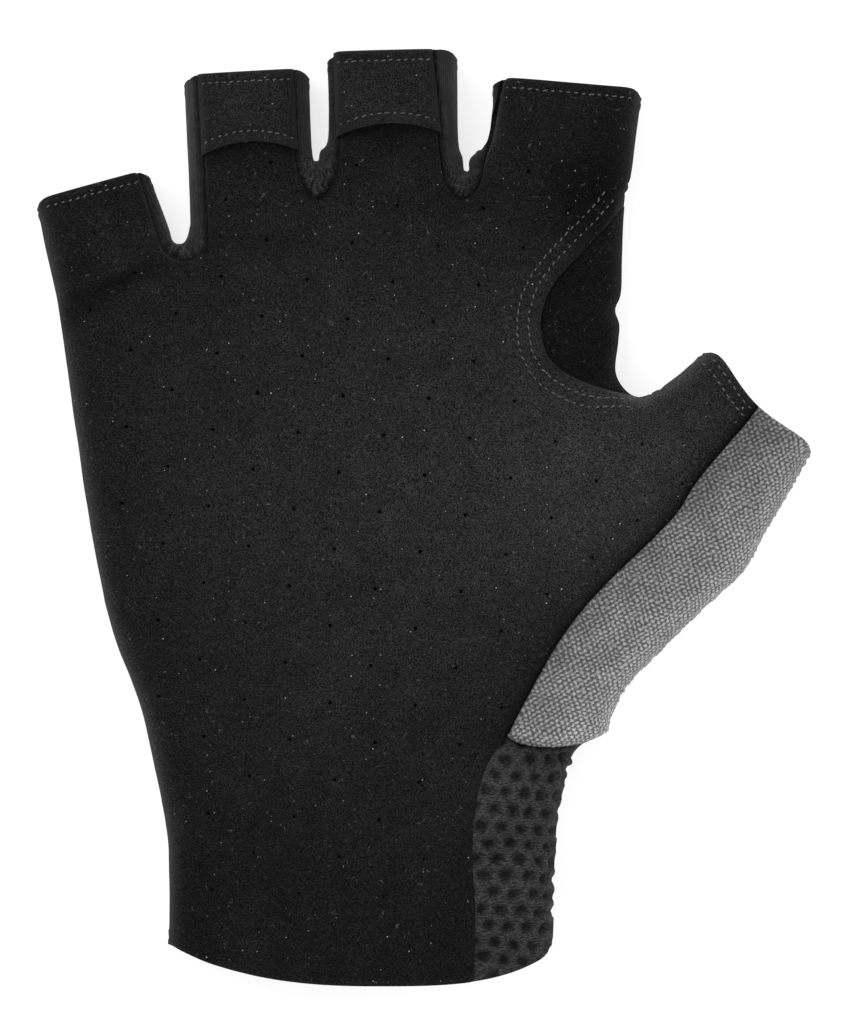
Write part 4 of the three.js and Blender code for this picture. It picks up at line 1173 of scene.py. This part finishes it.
# From the plan's millimetres to the frame's metres
low, high = skin.plan.min(axis=0), skin.plan.max(axis=0)
PLAN_CENTRE = np.array([*(low + high) / 2, 0]) - np.array([*(cad_low + cad_high) / 2]) * [1000, 1000, 0]


def to_frame(points):
    return (points - PLAN_CENTRE) / 1000


def add_object(name, data):
    made = bpy.data.objects.new(name, data)
    bpy.context.scene.collection.objects.link(made)
    return made


def add_piece(name, points, faces, material):
    """A smooth mesh piece of the glove, from points in millimetres."""
    mesh = bpy.data.meshes.new(name)
    mesh.from_pydata(to_frame(points).tolist(), [], faces)
    mesh.polygons.foreach_set("use_smooth", np.ones(len(mesh.polygons), bool))
    mesh.materials.append(material)
    obj = add_object(name, mesh)
    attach(obj, "root")
    return obj


# Millimetres of cloth in one unit of its flat coordinates, and the angle of a sharp edge.
CLOTH_UNIT = 10
SHARP_TURN = 52


def add_cloth(name, points, faces, material, tone, cloth, rib=None):
    """A piece of cloth that stands for a panel, with its tone and flat coordinates."""
    obj = add_piece(name + "_cloth", points, faces.tolist(), material)
    for key, values in (("tone", tone), ("rib", rib)):
        if values is not None:
            obj.data.attributes.new(key, "FLOAT", "POINT")
            obj.data.attributes[key].data.foreach_set("value", np.asarray(values, np.float32))
    layer = obj.data.uv_layers.new(name="cloth")
    layer.data.foreach_set("uv", (cloth / CLOTH_UNIT).astype(np.float32).ravel())
    obj.data.set_sharp_from_angle(angle=math.radians(SHARP_TURN))
    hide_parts(name)


# How far a panel's edges are drawn back from their seams, outside and as a share of that inside,
# how far its outer face turns in at a mouth, and the least heights of both faces over the table.
SEAM_DRAW = 0.07
INNER_DRAW = 0.15
HEM_TURN = 0.5
LEAST_HEIGHTS = (0.02, 0.05)


def add_panel(name, wall, relief_of, tone_of, material):
    """A panel's wall: its relief outside, a plain face inside, and a rim between them."""
    own = skin.faces[skin.panels == name]
    fronts = skin.is_front[skin.panels == name]
    relief, tone, turn, rib = np.zeros((4, len(skin.base)))
    for places, numbers in reversed(skin.places):
        relief[numbers] = relief_of(places)
        tone[numbers] = tone_of(places)
        turn[numbers] = HEM_TURN * (1 - dome(places.mouth / 0.8))
        rib[numbers] = places.unrolled
    used = np.unique(own)
    number = np.full(len(skin.base), -1)
    number[used] = np.arange(len(used))
    corners = number[own]
    base, normals = skin.base[used], skin.normals[used]

    pairs = np.vstack([corners[:, [0, 1]], corners[:, [1, 2]], corners[:, [2, 0]]])
    keys = np.sort(pairs, axis=1) @ [len(used), 1]
    _, first, times = np.unique(keys, return_index=True, return_counts=True)
    rim = pairs[first[times == 1]]
    edge_ways = unit(base[rim[:, 1]] - base[rim[:, 0]])
    inward = -np.cross(edge_ways, normals[rim].mean(axis=1))
    drawn = np.zeros_like(base)
    for k in (0, 1):
        np.add.at(drawn, rim[:, k], inward)
    drawn *= SEAM_DRAW / np.maximum((drawn**2).sum(axis=1), 0.5)[:, None]

    outer = base + drawn + normals * (relief - turn)[used, None]
    inner = base + INNER_DRAW * drawn - normals * (wall - turn)[used, None]
    for layer, least in zip((outer, inner), LEAST_HEIGHTS):
        layer[:, 2] = np.maximum(layer[:, 2], least)
    count = len(used)
    a, b = rim[:, 0], rim[:, 1]
    faces = np.vstack(
        [
            corners,
            corners[:, ::-1] + count,
            np.column_stack([b, a, a + count]),
            np.column_stack([b, a + count, b + count]),
        ]
    )
    is_front = np.concatenate([fronts, fronts, np.ones(2 * len(rim), bool)])
    by_front, by_back = (flat[used[faces % count]] for flat in skin.flats)
    cloth = shifted(np.where(is_front[:, None, None], by_front, by_back).reshape(-1, 2), *LOOP_SHIFT)
    shades, ribs = (np.tile(values[used], 2) for values in (tone, rib))
    add_cloth(name, np.vstack([outer, inner]), faces, material, shades, cloth, ribs)


# Materials
class Looks:
    """A cloth material, whose node graph its methods extend."""

    def __init__(self, name, **shader):
        self.material = bpy.data.materials.new(name)
        self.material.use_nodes = True
        self.nodes = self.material.node_tree.nodes
        self.links = self.material.node_tree.links
        self.shader = self.nodes["Principled BSDF"]
        for socket, value in shader.items():
            self.shader.inputs[socket.replace("_", " ")].default_value = value
        self.place = self.node("ShaderNodeTexCoord").outputs["Object"]
        self.cloth = self.node("ShaderNodeTexCoord").outputs["UV"]

    def node(self, kind, inputs=(), **settings):
        made = self.nodes.new(kind)
        for key, value in settings.items():
            setattr(made, key, value)
        for socket, value in dict(inputs).items():
            if isinstance(value, bpy.types.NodeSocket):
                self.links.new(value, made.inputs[socket])
            elif value is not None:
                made.inputs[socket].default_value = value
        return made

    def math(self, operation, a, b=None):
        return self.node("ShaderNodeMath", {0: a, 1: b}, operation=operation).outputs[0]

    def times(self, a, b):
        return self.math("MULTIPLY", a, b)

    def noise(self, size, detail=3, rough=0.6, place=None, stretch=None, turn=0):
        """Noise with features of about that size in millimetres."""
        place = place or self.place
        unit = 1 / CLOTH_UNIT if place == self.cloth else 0.001
        if stretch:
            mapped = {"Vector": place, "Rotation": (0, 0, math.radians(turn)), "Scale": stretch}
            place = self.node("ShaderNodeMapping", mapped).outputs[0]
        sockets = {"Vector": place, "Scale": 1 / (size * unit), "Detail": detail, "Roughness": rough}
        return self.node("ShaderNodeTexNoise", sockets).outputs["Fac"]

    def span(self, value, low, high, start=0, end=1):
        sockets = {"Value": value, "From Min": low, "From Max": high, "To Min": start, "To Max": end}
        return self.node("ShaderNodeMapRange", sockets).outputs[0]

    def blend(self, share, a, b):
        return self.node("ShaderNodeMix", {0: share, 6: a, 7: b}, data_type="RGBA").outputs[2]

    def greys(self, value, low, high, dark, light):
        """From a dark to a light grey, as the value goes from low to high."""
        return self.blend(self.span(value, low, high), grey(dark), grey(light))

    def shade(self, colour, factor):
        """The colour times a factor."""
        return self.node("ShaderNodeVectorMath", {0: colour, 3: factor}, operation="SCALE").outputs[0]

    def bump(self, height, depth, strength=1, under=None):
        """Bump of that depth in millimetres."""
        sockets = {"Height": height, "Distance": depth / 1000, "Strength": strength, "Normal": under}
        return self.node("ShaderNodeBump", sockets).outputs[0]

    def attribute(self, name):
        return self.node("ShaderNodeAttribute", attribute_name=name).outputs["Fac"]

    def finish(self, colour, normal):
        self.links.new(colour, self.shader.inputs["Base Color"])
        self.links.new(normal, self.shader.inputs["Normal"])
        return self.material


def grey(value):
    return value, value, value, 1


LINT_SPACING = 1.3
NAP = 0.85


def lint(looks, colour, share):
    """Specks and short hairs of pale lint over a colour."""
    sockets = {"Vector": looks.cloth, "Scale": CLOTH_UNIT / LINT_SPACING, "Randomness": 1}
    cells = looks.node("ShaderNodeTexVoronoi", sockets, voronoi_dimensions="2D")
    chance = looks.node("ShaderNodeSeparateColor", {0: cells.outputs["Color"]}).outputs
    radius = looks.span(chance[1], 0, 1, 0.03, 0.1)
    spot = looks.math("LESS_THAN", cells.outputs["Distance"], radius)
    speck = looks.times(spot, looks.math("GREATER_THAN", chance[0], 1 - share))
    curls = looks.math("ABSOLUTE", looks.math("SUBTRACT", looks.noise(1.6, 1, 0.4), 0.5))
    patches = looks.span(looks.noise(1.1, 1, 0.5), 0.64, 0.68)
    hair = looks.times(looks.span(curls, 0.006, 0.018, 1, 0), patches)
    colour = looks.blend(looks.times(hair, 0.4), colour, grey(0.1))
    pale = looks.times(speck, looks.math("POWER", chance[2], 2.2))
    return looks.blend(pale, colour, grey(0.3))


def suede(name, dark, light, sheen, lint_share):
    """Brushed cloth: almost even, with a grainy nap, and pale specks of lint."""
    looks = Looks(name, Roughness=0.95, Sheen_Weight=sheen, Sheen_Roughness=0.4, Specular_IOR_Level=0.06)
    clouds = looks.noise(5, 4, 0.6)
    grain = looks.noise(0.24, 2, 0.7)
    mottle = looks.noise(0.7, 2, 0.7)
    pile = looks.times(looks.span(grain, 0.4, 0.6, 1 - NAP, 1 + NAP), looks.attribute("tone"))
    pile = looks.times(pile, looks.span(mottle, 0.35, 0.65, 1 - NAP / 4, 1 + NAP / 4))
    colour = looks.shade(looks.greys(clouds, 0.3, 0.7, dark, light), pile)
    normal = looks.bump(grain, 0.14, 0.8, looks.bump(mottle, 0.1, 0.3, looks.bump(clouds, 0.4, 0.25)))
    return looks.finish(lint(looks, colour, lint_share), normal)


def dimpled_knit():
    """Knit of short slanting stitches; its tone carries painted shade in the dimples."""
    looks = Looks(
        "dimpled_knit", Roughness=0.85, Sheen_Weight=0.05, Sheen_Roughness=0.4, Specular_IOR_Level=0.12
    )
    strokes = looks.noise(0.42, 2, 0.7, looks.cloth, stretch=(0.5, 1.6, 1), turn=-28)
    grain = looks.noise(0.3, 3, 0.8, looks.cloth)
    colour = looks.greys(strokes, 0.4, 0.6, 0.008, 0.039)
    shade = looks.times(looks.attribute("tone"), looks.span(grain, 0.38, 0.62, 0.5, 1.5))
    normal = looks.bump(strokes, 0.25, 0.8, looks.bump(grain, 0.1, 0.5))
    return looks.finish(looks.shade(colour, shade), normal)


def grey_knit():
    """Loops where three waves meet, with painted shade in the gaps between them."""
    looks = Looks("grey_knit", Roughness=0.75, Sheen_Weight=0.1, Specular_IOR_Level=0.25)
    total = None
    for (x, y), weight in zip(LOOP_WAVES, LOOP_WEIGHTS):
        turns = (2 * math.pi * CLOTH_UNIT * x, 2 * math.pi * CLOTH_UNIT * y, 0)
        phase = looks.node("ShaderNodeVectorMath", {0: looks.cloth, 1: turns}, operation="DOT_PRODUCT")
        wave = looks.times(looks.math("COSINE", phase.outputs["Value"]), weight)
        total = wave if total is None else looks.math("ADD", total, wave)
    uneven = looks.noise(0.55, 2, 0.7, looks.cloth)
    height = looks.math("ADD", total, looks.span(uneven, 0.3, 0.7, -1.7, 1.7))
    fibres = looks.noise(0.28, 3, 0.8, looks.cloth)
    clouds = looks.noise(4, 2, 0.5)
    colour = looks.greys(clouds, 0.3, 0.7, 0.165, 0.205)
    # Painted shade in the gaps, paler on the loops' heads.
    heads = looks.times(looks.attribute("tone"), looks.span(height, -1.3, 1.2, 0.3, 1.5))
    shade = looks.times(heads, looks.span(fibres, 0.38, 0.62, 0.75, 1.25))
    normal = looks.bump(looks.span(height, -1.3, 1.5), 0.3, 0.8, looks.bump(fibres, 0.1, 0.5))
    return looks.finish(looks.shade(colour, shade), normal)


def stretch_rib():
    """Elastic cloth, with fine ribs that run along the strips."""
    looks = Looks(
        "stretch_rib", Roughness=0.75, Sheen_Weight=0.05, Sheen_Roughness=0.3, Specular_IOR_Level=0.12
    )
    grain = looks.noise(0.3, 3, 0.7)
    clouds = looks.noise(2.5, 3, 0.6)
    colour = looks.greys(clouds, 0.35, 0.65, 0.0118, 0.0195)
    wander = looks.span(looks.noise(2.2, 2, 0.5), 0.3, 0.7, -1.3, 1.3)
    turns = looks.times(looks.attribute("rib"), 2 * math.pi / RIB_PITCH)
    ribs = looks.math("COSINE", looks.math("ADD", turns, wander))
    shade = looks.times(looks.attribute("tone"), looks.span(grain, 0.3, 0.7, 0.7, 1.3))
    shade = looks.times(shade, looks.span(ribs, -1, 1, 0.68, 1.32))
    normal = looks.bump(ribs, 0.07, 0.6, looks.bump(grain, 0.08, 0.5))
    return looks.finish(looks.shade(colour, shade), normal)


def thread():
    looks = Looks("thread", Roughness=0.7, Sheen_Weight=0.1, Specular_IOR_Level=0.3)
    twist = looks.noise(0.25, 2, 0.6)
    colour = looks.greys(twist, 0.35, 0.65, 0.02, 0.105)
    return looks.finish(colour, looks.bump(twist, 0.05, 0.5))


palm_suede = suede("palm_suede", 0.0115, 0.0155, 0.05, 0.1)
tab_suede = suede("tab_suede", 0.0082, 0.0116, 0.05, 0.12)
smooth_suede = suede("smooth_suede", 0.003, 0.0044, 0.015, 0.02)
strip_rib = stretch_rib()

add_panel("palm_panel", SUEDE_WALL, palm_relief, palm_tone, palm_suede)
add_panel("back_panel", KNIT_WALL, back_relief, back_tone, dimpled_knit())
add_panel("thumb_panel", KNIT_WALL, thumb_relief, thumb_tone, grey_knit())
add_panel("thumb_gusset", SUEDE_WALL, gusset_relief, gusset_tone, smooth_suede)
for name, _ in slot_regions(front_slot_seams):
    add_panel(name, STRETCH_WALL, strip_relief, strip_tone, strip_rib)

# Pull tabs: a strap whose sides run into the seams, with a lip that stands off. First come the
# numbers of faces across and down. The ridges and bands have the columns of the panels' own.
TAB_ACROSS = 60
TAB_DOWN = 50
TAB_OVER = 0.1
TAB_CLEARANCE = 0.08
TAB_LIFT = 0.3
TAB_SEAM_GAP = 0.12
TAB_SIDE_ROUND = 1.5
TAB_LIP_ROUND = 1.1
TAB_SIDE_WALL = 0.2
TAB_RIDGES = [("lip", 0.75, 0.55, 0.34), ("mouth", 0.6, 0.6, 0.2)]
TAB_STITCH_GROOVES = [(line, HEM_STITCH, 0.35, -0.3) for line in ("mouth", "lip")]
TAB_SIDE_SHADE_AND_FRINGE_BANDS = [("side", 0, 1.8, -0.5), ("lip", 0, 0.6, 0.4), ("mouth", 0, 0.5, 0.25)]


def tab_surface(finger, sides, downs, is_top):
    """Points of a tab's upper or lower face, for sides and downs of equal length."""
    plan = tab_plan(finger, sides, downs, TAB_SEAM_GAP)
    places = Places(plan, True)
    length = tab_length(finger)
    from_side = (1 - abs(sides)) * finger.width * 0.4
    from_mouth = downs * length
    from_lip = (1 - downs) * (length - TAB_LIP_ARCH * (1 - sides**2))
    tuck = dome(from_side / TAB_SIDE_ROUND)
    stand = 0.85 * TAB_LIP_RISE * (1 - sides**2) * smooth(downs) ** 1.5
    under = places.height() + ridges(places.near, SLOT_GROOVE)
    wave = 0.22 * noise(plan, 6, 61) + 0.06 * noise(plan, 2.2, 62)
    height = under + TAB_CLEARANCE + TAB_LIFT * tuck + stand + wave * tuck
    lip_round = 1 - dome((from_lip + 0.02) / TAB_LIP_ROUND)
    if is_top:
        near = {"lip": from_lip, "mouth": from_mouth}
        height += TAB_SIDE_WALL + (TAB_WALL - TAB_SIDE_WALL) * tuck - 0.75 * lip_round
        height -= 0.9 * (1 - dome(from_mouth + 0.02))
        height += ridges(near, TAB_RIDGES) + ridges(near, TAB_STITCH_GROOVES) * tuck
    else:
        height += 0.25 * lip_round
    return np.column_stack([plan + finger.along * TAB_OVER * (1 - downs[:, None]), height])


def grid_faces(columns, rows):
    a = (np.arange(rows - 1)[:, None] * columns + np.arange(columns - 1)).ravel()
    return np.column_stack([a, a + columns, a + columns + 1, a + 1])


def add_tab(finger):
    columns, rows = TAB_ACROSS + 1, TAB_DOWN + 1
    side = np.sin(np.linspace(-1, 1, columns) * math.pi / 2)
    side = mix(np.linspace(-1, 1, columns), side, 0.6)
    down = (1 - np.cos(np.linspace(0, 1, rows) * math.pi)) / 2
    down = mix(np.linspace(0, 1, rows), down, 0.7)
    sides, downs = (values.ravel() for values in np.meshgrid(side, down))
    points = np.vstack([tab_surface(finger, sides, downs, is_top) for is_top in (True, False)])
    top = grid_faces(columns, rows)
    layer = columns * rows
    numbers = np.arange(layer).reshape(rows, columns)
    loop = np.array([*numbers[0, :-1], *numbers[:-1, -1], *numbers[-1, :0:-1], *numbers[:0:-1, 0]])
    after = np.roll(loop, -1)
    rim = np.column_stack([loop, after, after + layer, loop + layer])
    faces = np.vstack([top, top[:, ::-1] + layer, rim])
    length = tab_length(finger)
    near = {"side": (1 - abs(sides)) * finger.width, "lip": (1 - downs) * length, "mouth": downs * length}
    # Painted shade at the sides, where they tuck into the seams; paler along the lip and the mouth.
    tone = np.tile(1 + 0.12 * noise(points[:layer, :2], 5, 63) + ridges(near, TAB_SIDE_SHADE_AND_FRINGE_BANDS), 2)
    cloth = points[faces][:, :, :2].reshape(-1, 2)
    add_cloth(f"pull_tab_{finger.name}", points, faces, tab_suede, tone, cloth)


for finger in tabbed_fingers:
    add_tab(finger)


# Stitches
def skin_frame(plan):
    """Points on the palm's cloth, and the skin's normals there."""
    places = Places(plan, True)
    h = 0.05
    z = places.height()
    slopes = [(Places(plan + step, True).height() - z) / h for step in (at(h, 0), at(0, h))]
    normals = unit(np.column_stack([-slopes[0], -slopes[1], np.ones(len(plan))]))
    return np.column_stack([plan, z]) + normals * palm_relief(places)[:, None], normals


def tab_frame(finger, sides, downs):
    points = tab_surface(finger, sides, downs, True)
    across = tab_surface(finger, sides + 0.01, downs, True) - points
    along = tab_surface(finger, sides, downs + 0.01, True) - points
    normals = unit(np.cross(along, across))
    return points, normals * np.sign(normals[:, 2:])


# Sizes of a stitch, and how far a single one strays from them: its slant in degrees, its place to
# the side, its share of the length, and how deep it is sunk.
STITCH_LENGTH = 1.08
STITCH_RADIUS = 0.14
STITCH_ARCH = 0.26
STITCH_SIDES = 6
STITCH_RINGS = 7
STITCH_SLANT = 14
SLANT_SPREAD = 16
ASIDE_SPREAD = 0.06
LENGTH_SHARES = (0.66, 1.1)
MOST_SUNK = 0.13
# How far the rows keep from the silhouette, and from a seam as a share of the mouth.
HEM_ROW_CLEARANCE = 0.8
GUSSET_ROW_CLEARANCE = 1.3
SEAM_CLEARANCE_SHARE = 0.03
stitch_random = random.Random(7)


def stitch_faces():
    """The faces of one stitch, with its end caps last."""
    around = range(STITCH_SIDES)
    last = (STITCH_RINGS - 1) * STITCH_SIDES
    faces = []
    for start in range(0, last, STITCH_SIDES):
        for k in around:
            p, q = start + k, start + (k + 1) % STITCH_SIDES
            faces.append((p, q, q + STITCH_SIDES, p + STITCH_SIDES))
    return [*faces, tuple(reversed(around)), tuple(last + k for k in around)]


def stitch_points(points, normals):
    """The points of short threads, one in the middle of each step of two points along a row."""
    rings = np.linspace(-1, 1, STITCH_RINGS)
    angles = np.linspace(0, 2 * math.pi, STITCH_SIDES, endpoint=False)[:, None]
    radii = STITCH_RADIUS * np.sqrt(np.maximum(1 - rings**6, 0.04))
    for a, on_cloth, b, normal in zip(points[:-2:2], points[1::2], points[2::2], normals[1::2]):
        way = (b - a) / np.linalg.norm(b - a)
        slant = math.radians(STITCH_SLANT + stitch_random.uniform(-SLANT_SPREAD, SLANT_SPREAD))
        way = math.cos(slant) * way + math.sin(slant) * np.cross(normal, way)
        aside = np.cross(way, normal)
        middle = on_cloth + stitch_random.uniform(-ASIDE_SPREAD, ASIDE_SPREAD) * aside
        half = STITCH_LENGTH / 2 * stitch_random.uniform(*LENGTH_SHARES)
        arch = 0.1 - stitch_random.uniform(0, MOST_SUNK) - STITCH_ARCH * rings**4
        centres = middle + np.outer(rings * half, way) + np.outer(arch, normal)
        circle = np.cos(angles) * aside + np.sin(angles) * normal
        yield (centres[:, None] + radii[:, None, None] * circle).reshape(-1, 3)


def add_stitches(name, rows):
    verts = [stitch for points, normals in rows for stitch in stitch_points(points, normals)]
    faces = [
        tuple(i * STITCH_RINGS * STITCH_SIDES + k for k in face)
        for i in range(len(verts))
        for face in stitch_faces()
    ]
    add_piece(name, np.vstack(verts), faces, thread_material)


def hem_row(digit, offset, start, end):
    """A row of stitch ends at that distance below a mouth, between two shares of its width."""
    count = round((end - start) * digit.width / STITCH_PITCH)
    shares = np.linspace(start, end, 2 * count + 1)
    plan = mouth_point(digit, shares) - digit.along * offset
    plan = plan[is_inside(front.outline, plan) & (path_distance(chains, plan) > HEM_ROW_CLEARANCE)]
    return skin_frame(plan)


def tab_row(finger, at_lip):
    sides = np.linspace(-0.97, 0.97, 2 * round(finger.width * 0.8 / STITCH_PITCH) + 1)
    downs = HEM_STITCH / (tab_length(finger) - TAB_LIP_ARCH * (1 - sides**2))
    return tab_frame(finger, sides, 1 - downs if at_lip else downs)


def gusset_row(offset):
    share = np.linspace(0, 1, len(gusset_seam))[:, None]
    narrow = offset * (1 - 0.5 * smooth((share - 0.8) / 0.2))
    line = inset(gusset_seam, narrow)
    line = line[path_distance([gusset_seam], line) > 0.96 * narrow[:, 0]]
    line = chain(line[::4], STITCH_PITCH / 2)
    line = line[path_distance(chains, line) > GUSSET_ROW_CLEARANCE]
    return skin_frame(line)


thread_material = thread()
add_stitches(
    "finger_hem_stitches",
    [
        hem_row(little, HEM_STITCH, 0, front_slot_seams[0].left_share - SEAM_CLEARANCE_SHARE),
        hem_row(index, HEM_STITCH, front_slot_seams[2].right_share + SEAM_CLEARANCE_SHARE, 1),
    ],
)
for finger in tabbed_fingers:
    rows = [tab_row(finger, at_lip) for at_lip in (False, True)]
    add_stitches(f"pull_tab_{finger.name}_stitches", rows)
add_stitches("thumb_hem_stitches", [hem_row(thumb, row, 0, end) for row, end in THUMB_HEM_ROWS])
add_stitches("gusset_stitches", [gusset_row(row) for row in GUSSET_ROWS])


# Floor, light and camera
def add_floor():
    mesh = bpy.data.meshes.new("floor")
    reach = 3
    corners = [(-reach, -reach, 0), (reach, -reach, 0), (reach, reach, 0), (-reach, reach, 0)]
    mesh.from_pydata(corners, [], [(0, 1, 2, 3)])
    floor = add_object("floor", mesh)
    looks = Looks("pale_floor", Roughness=0.9, Specular_IOR_Level=0.1, Emission_Strength=0.75)
    looks.shader.inputs["Emission Color"].default_value = (1, 1, 1, 1)
    paper = looks.noise(40, 2, 0.5)
    colour = looks.greys(paper, 0.3, 0.7, 0.33, 0.36)
    mesh.materials.append(looks.finish(colour, looks.bump(paper, 0.05, 0.1)))


def add_softbox(name, place, size, power):
    data = bpy.data.lights.new(name, "AREA")
    data.shape = "DISK"
    data.size = size
    data.energy = power
    light = add_object(name, data)
    light.location = place
    light.rotation_euler = (-Vector(place)).to_track_quat("-Z", "Y").to_euler()


def add_world():
    world = bpy.data.worlds.new("studio")
    world.use_nodes = True
    background = world.node_tree.nodes["Background"]
    background.inputs["Color"].default_value = (1, 1, 1, 1)
    background.inputs["Strength"].default_value = 0.85
    bpy.context.scene.world = world


# The camera looks straight down from far off, as the photo does: metres in the frame.
PHOTO_HEIGHT = 0.1852
PHOTO_CENTRE = (-0.0002, 0.0005)
LENS = 500
PICTURE_LEVEL = 0.0115
SENSOR = 36


def add_camera():
    data = bpy.data.cameras.new("camera")
    data.lens = LENS
    data.sensor_width = SENSOR
    data.clip_end = 10
    camera = add_object("camera", data)
    camera.location = (*PHOTO_CENTRE, PHOTO_HEIGHT * LENS / SENSOR + PICTURE_LEVEL)
    bpy.context.scene.camera = camera


bpy.context.scene.view_settings.view_transform = "Standard"
add_floor()
add_world()
add_softbox("key_light", (-0.5, 0.55, 1.1), 0.8, 9)
add_softbox("fill_light", (0.7, -0.3, 0.9), 0.9, 4)
add_camera()
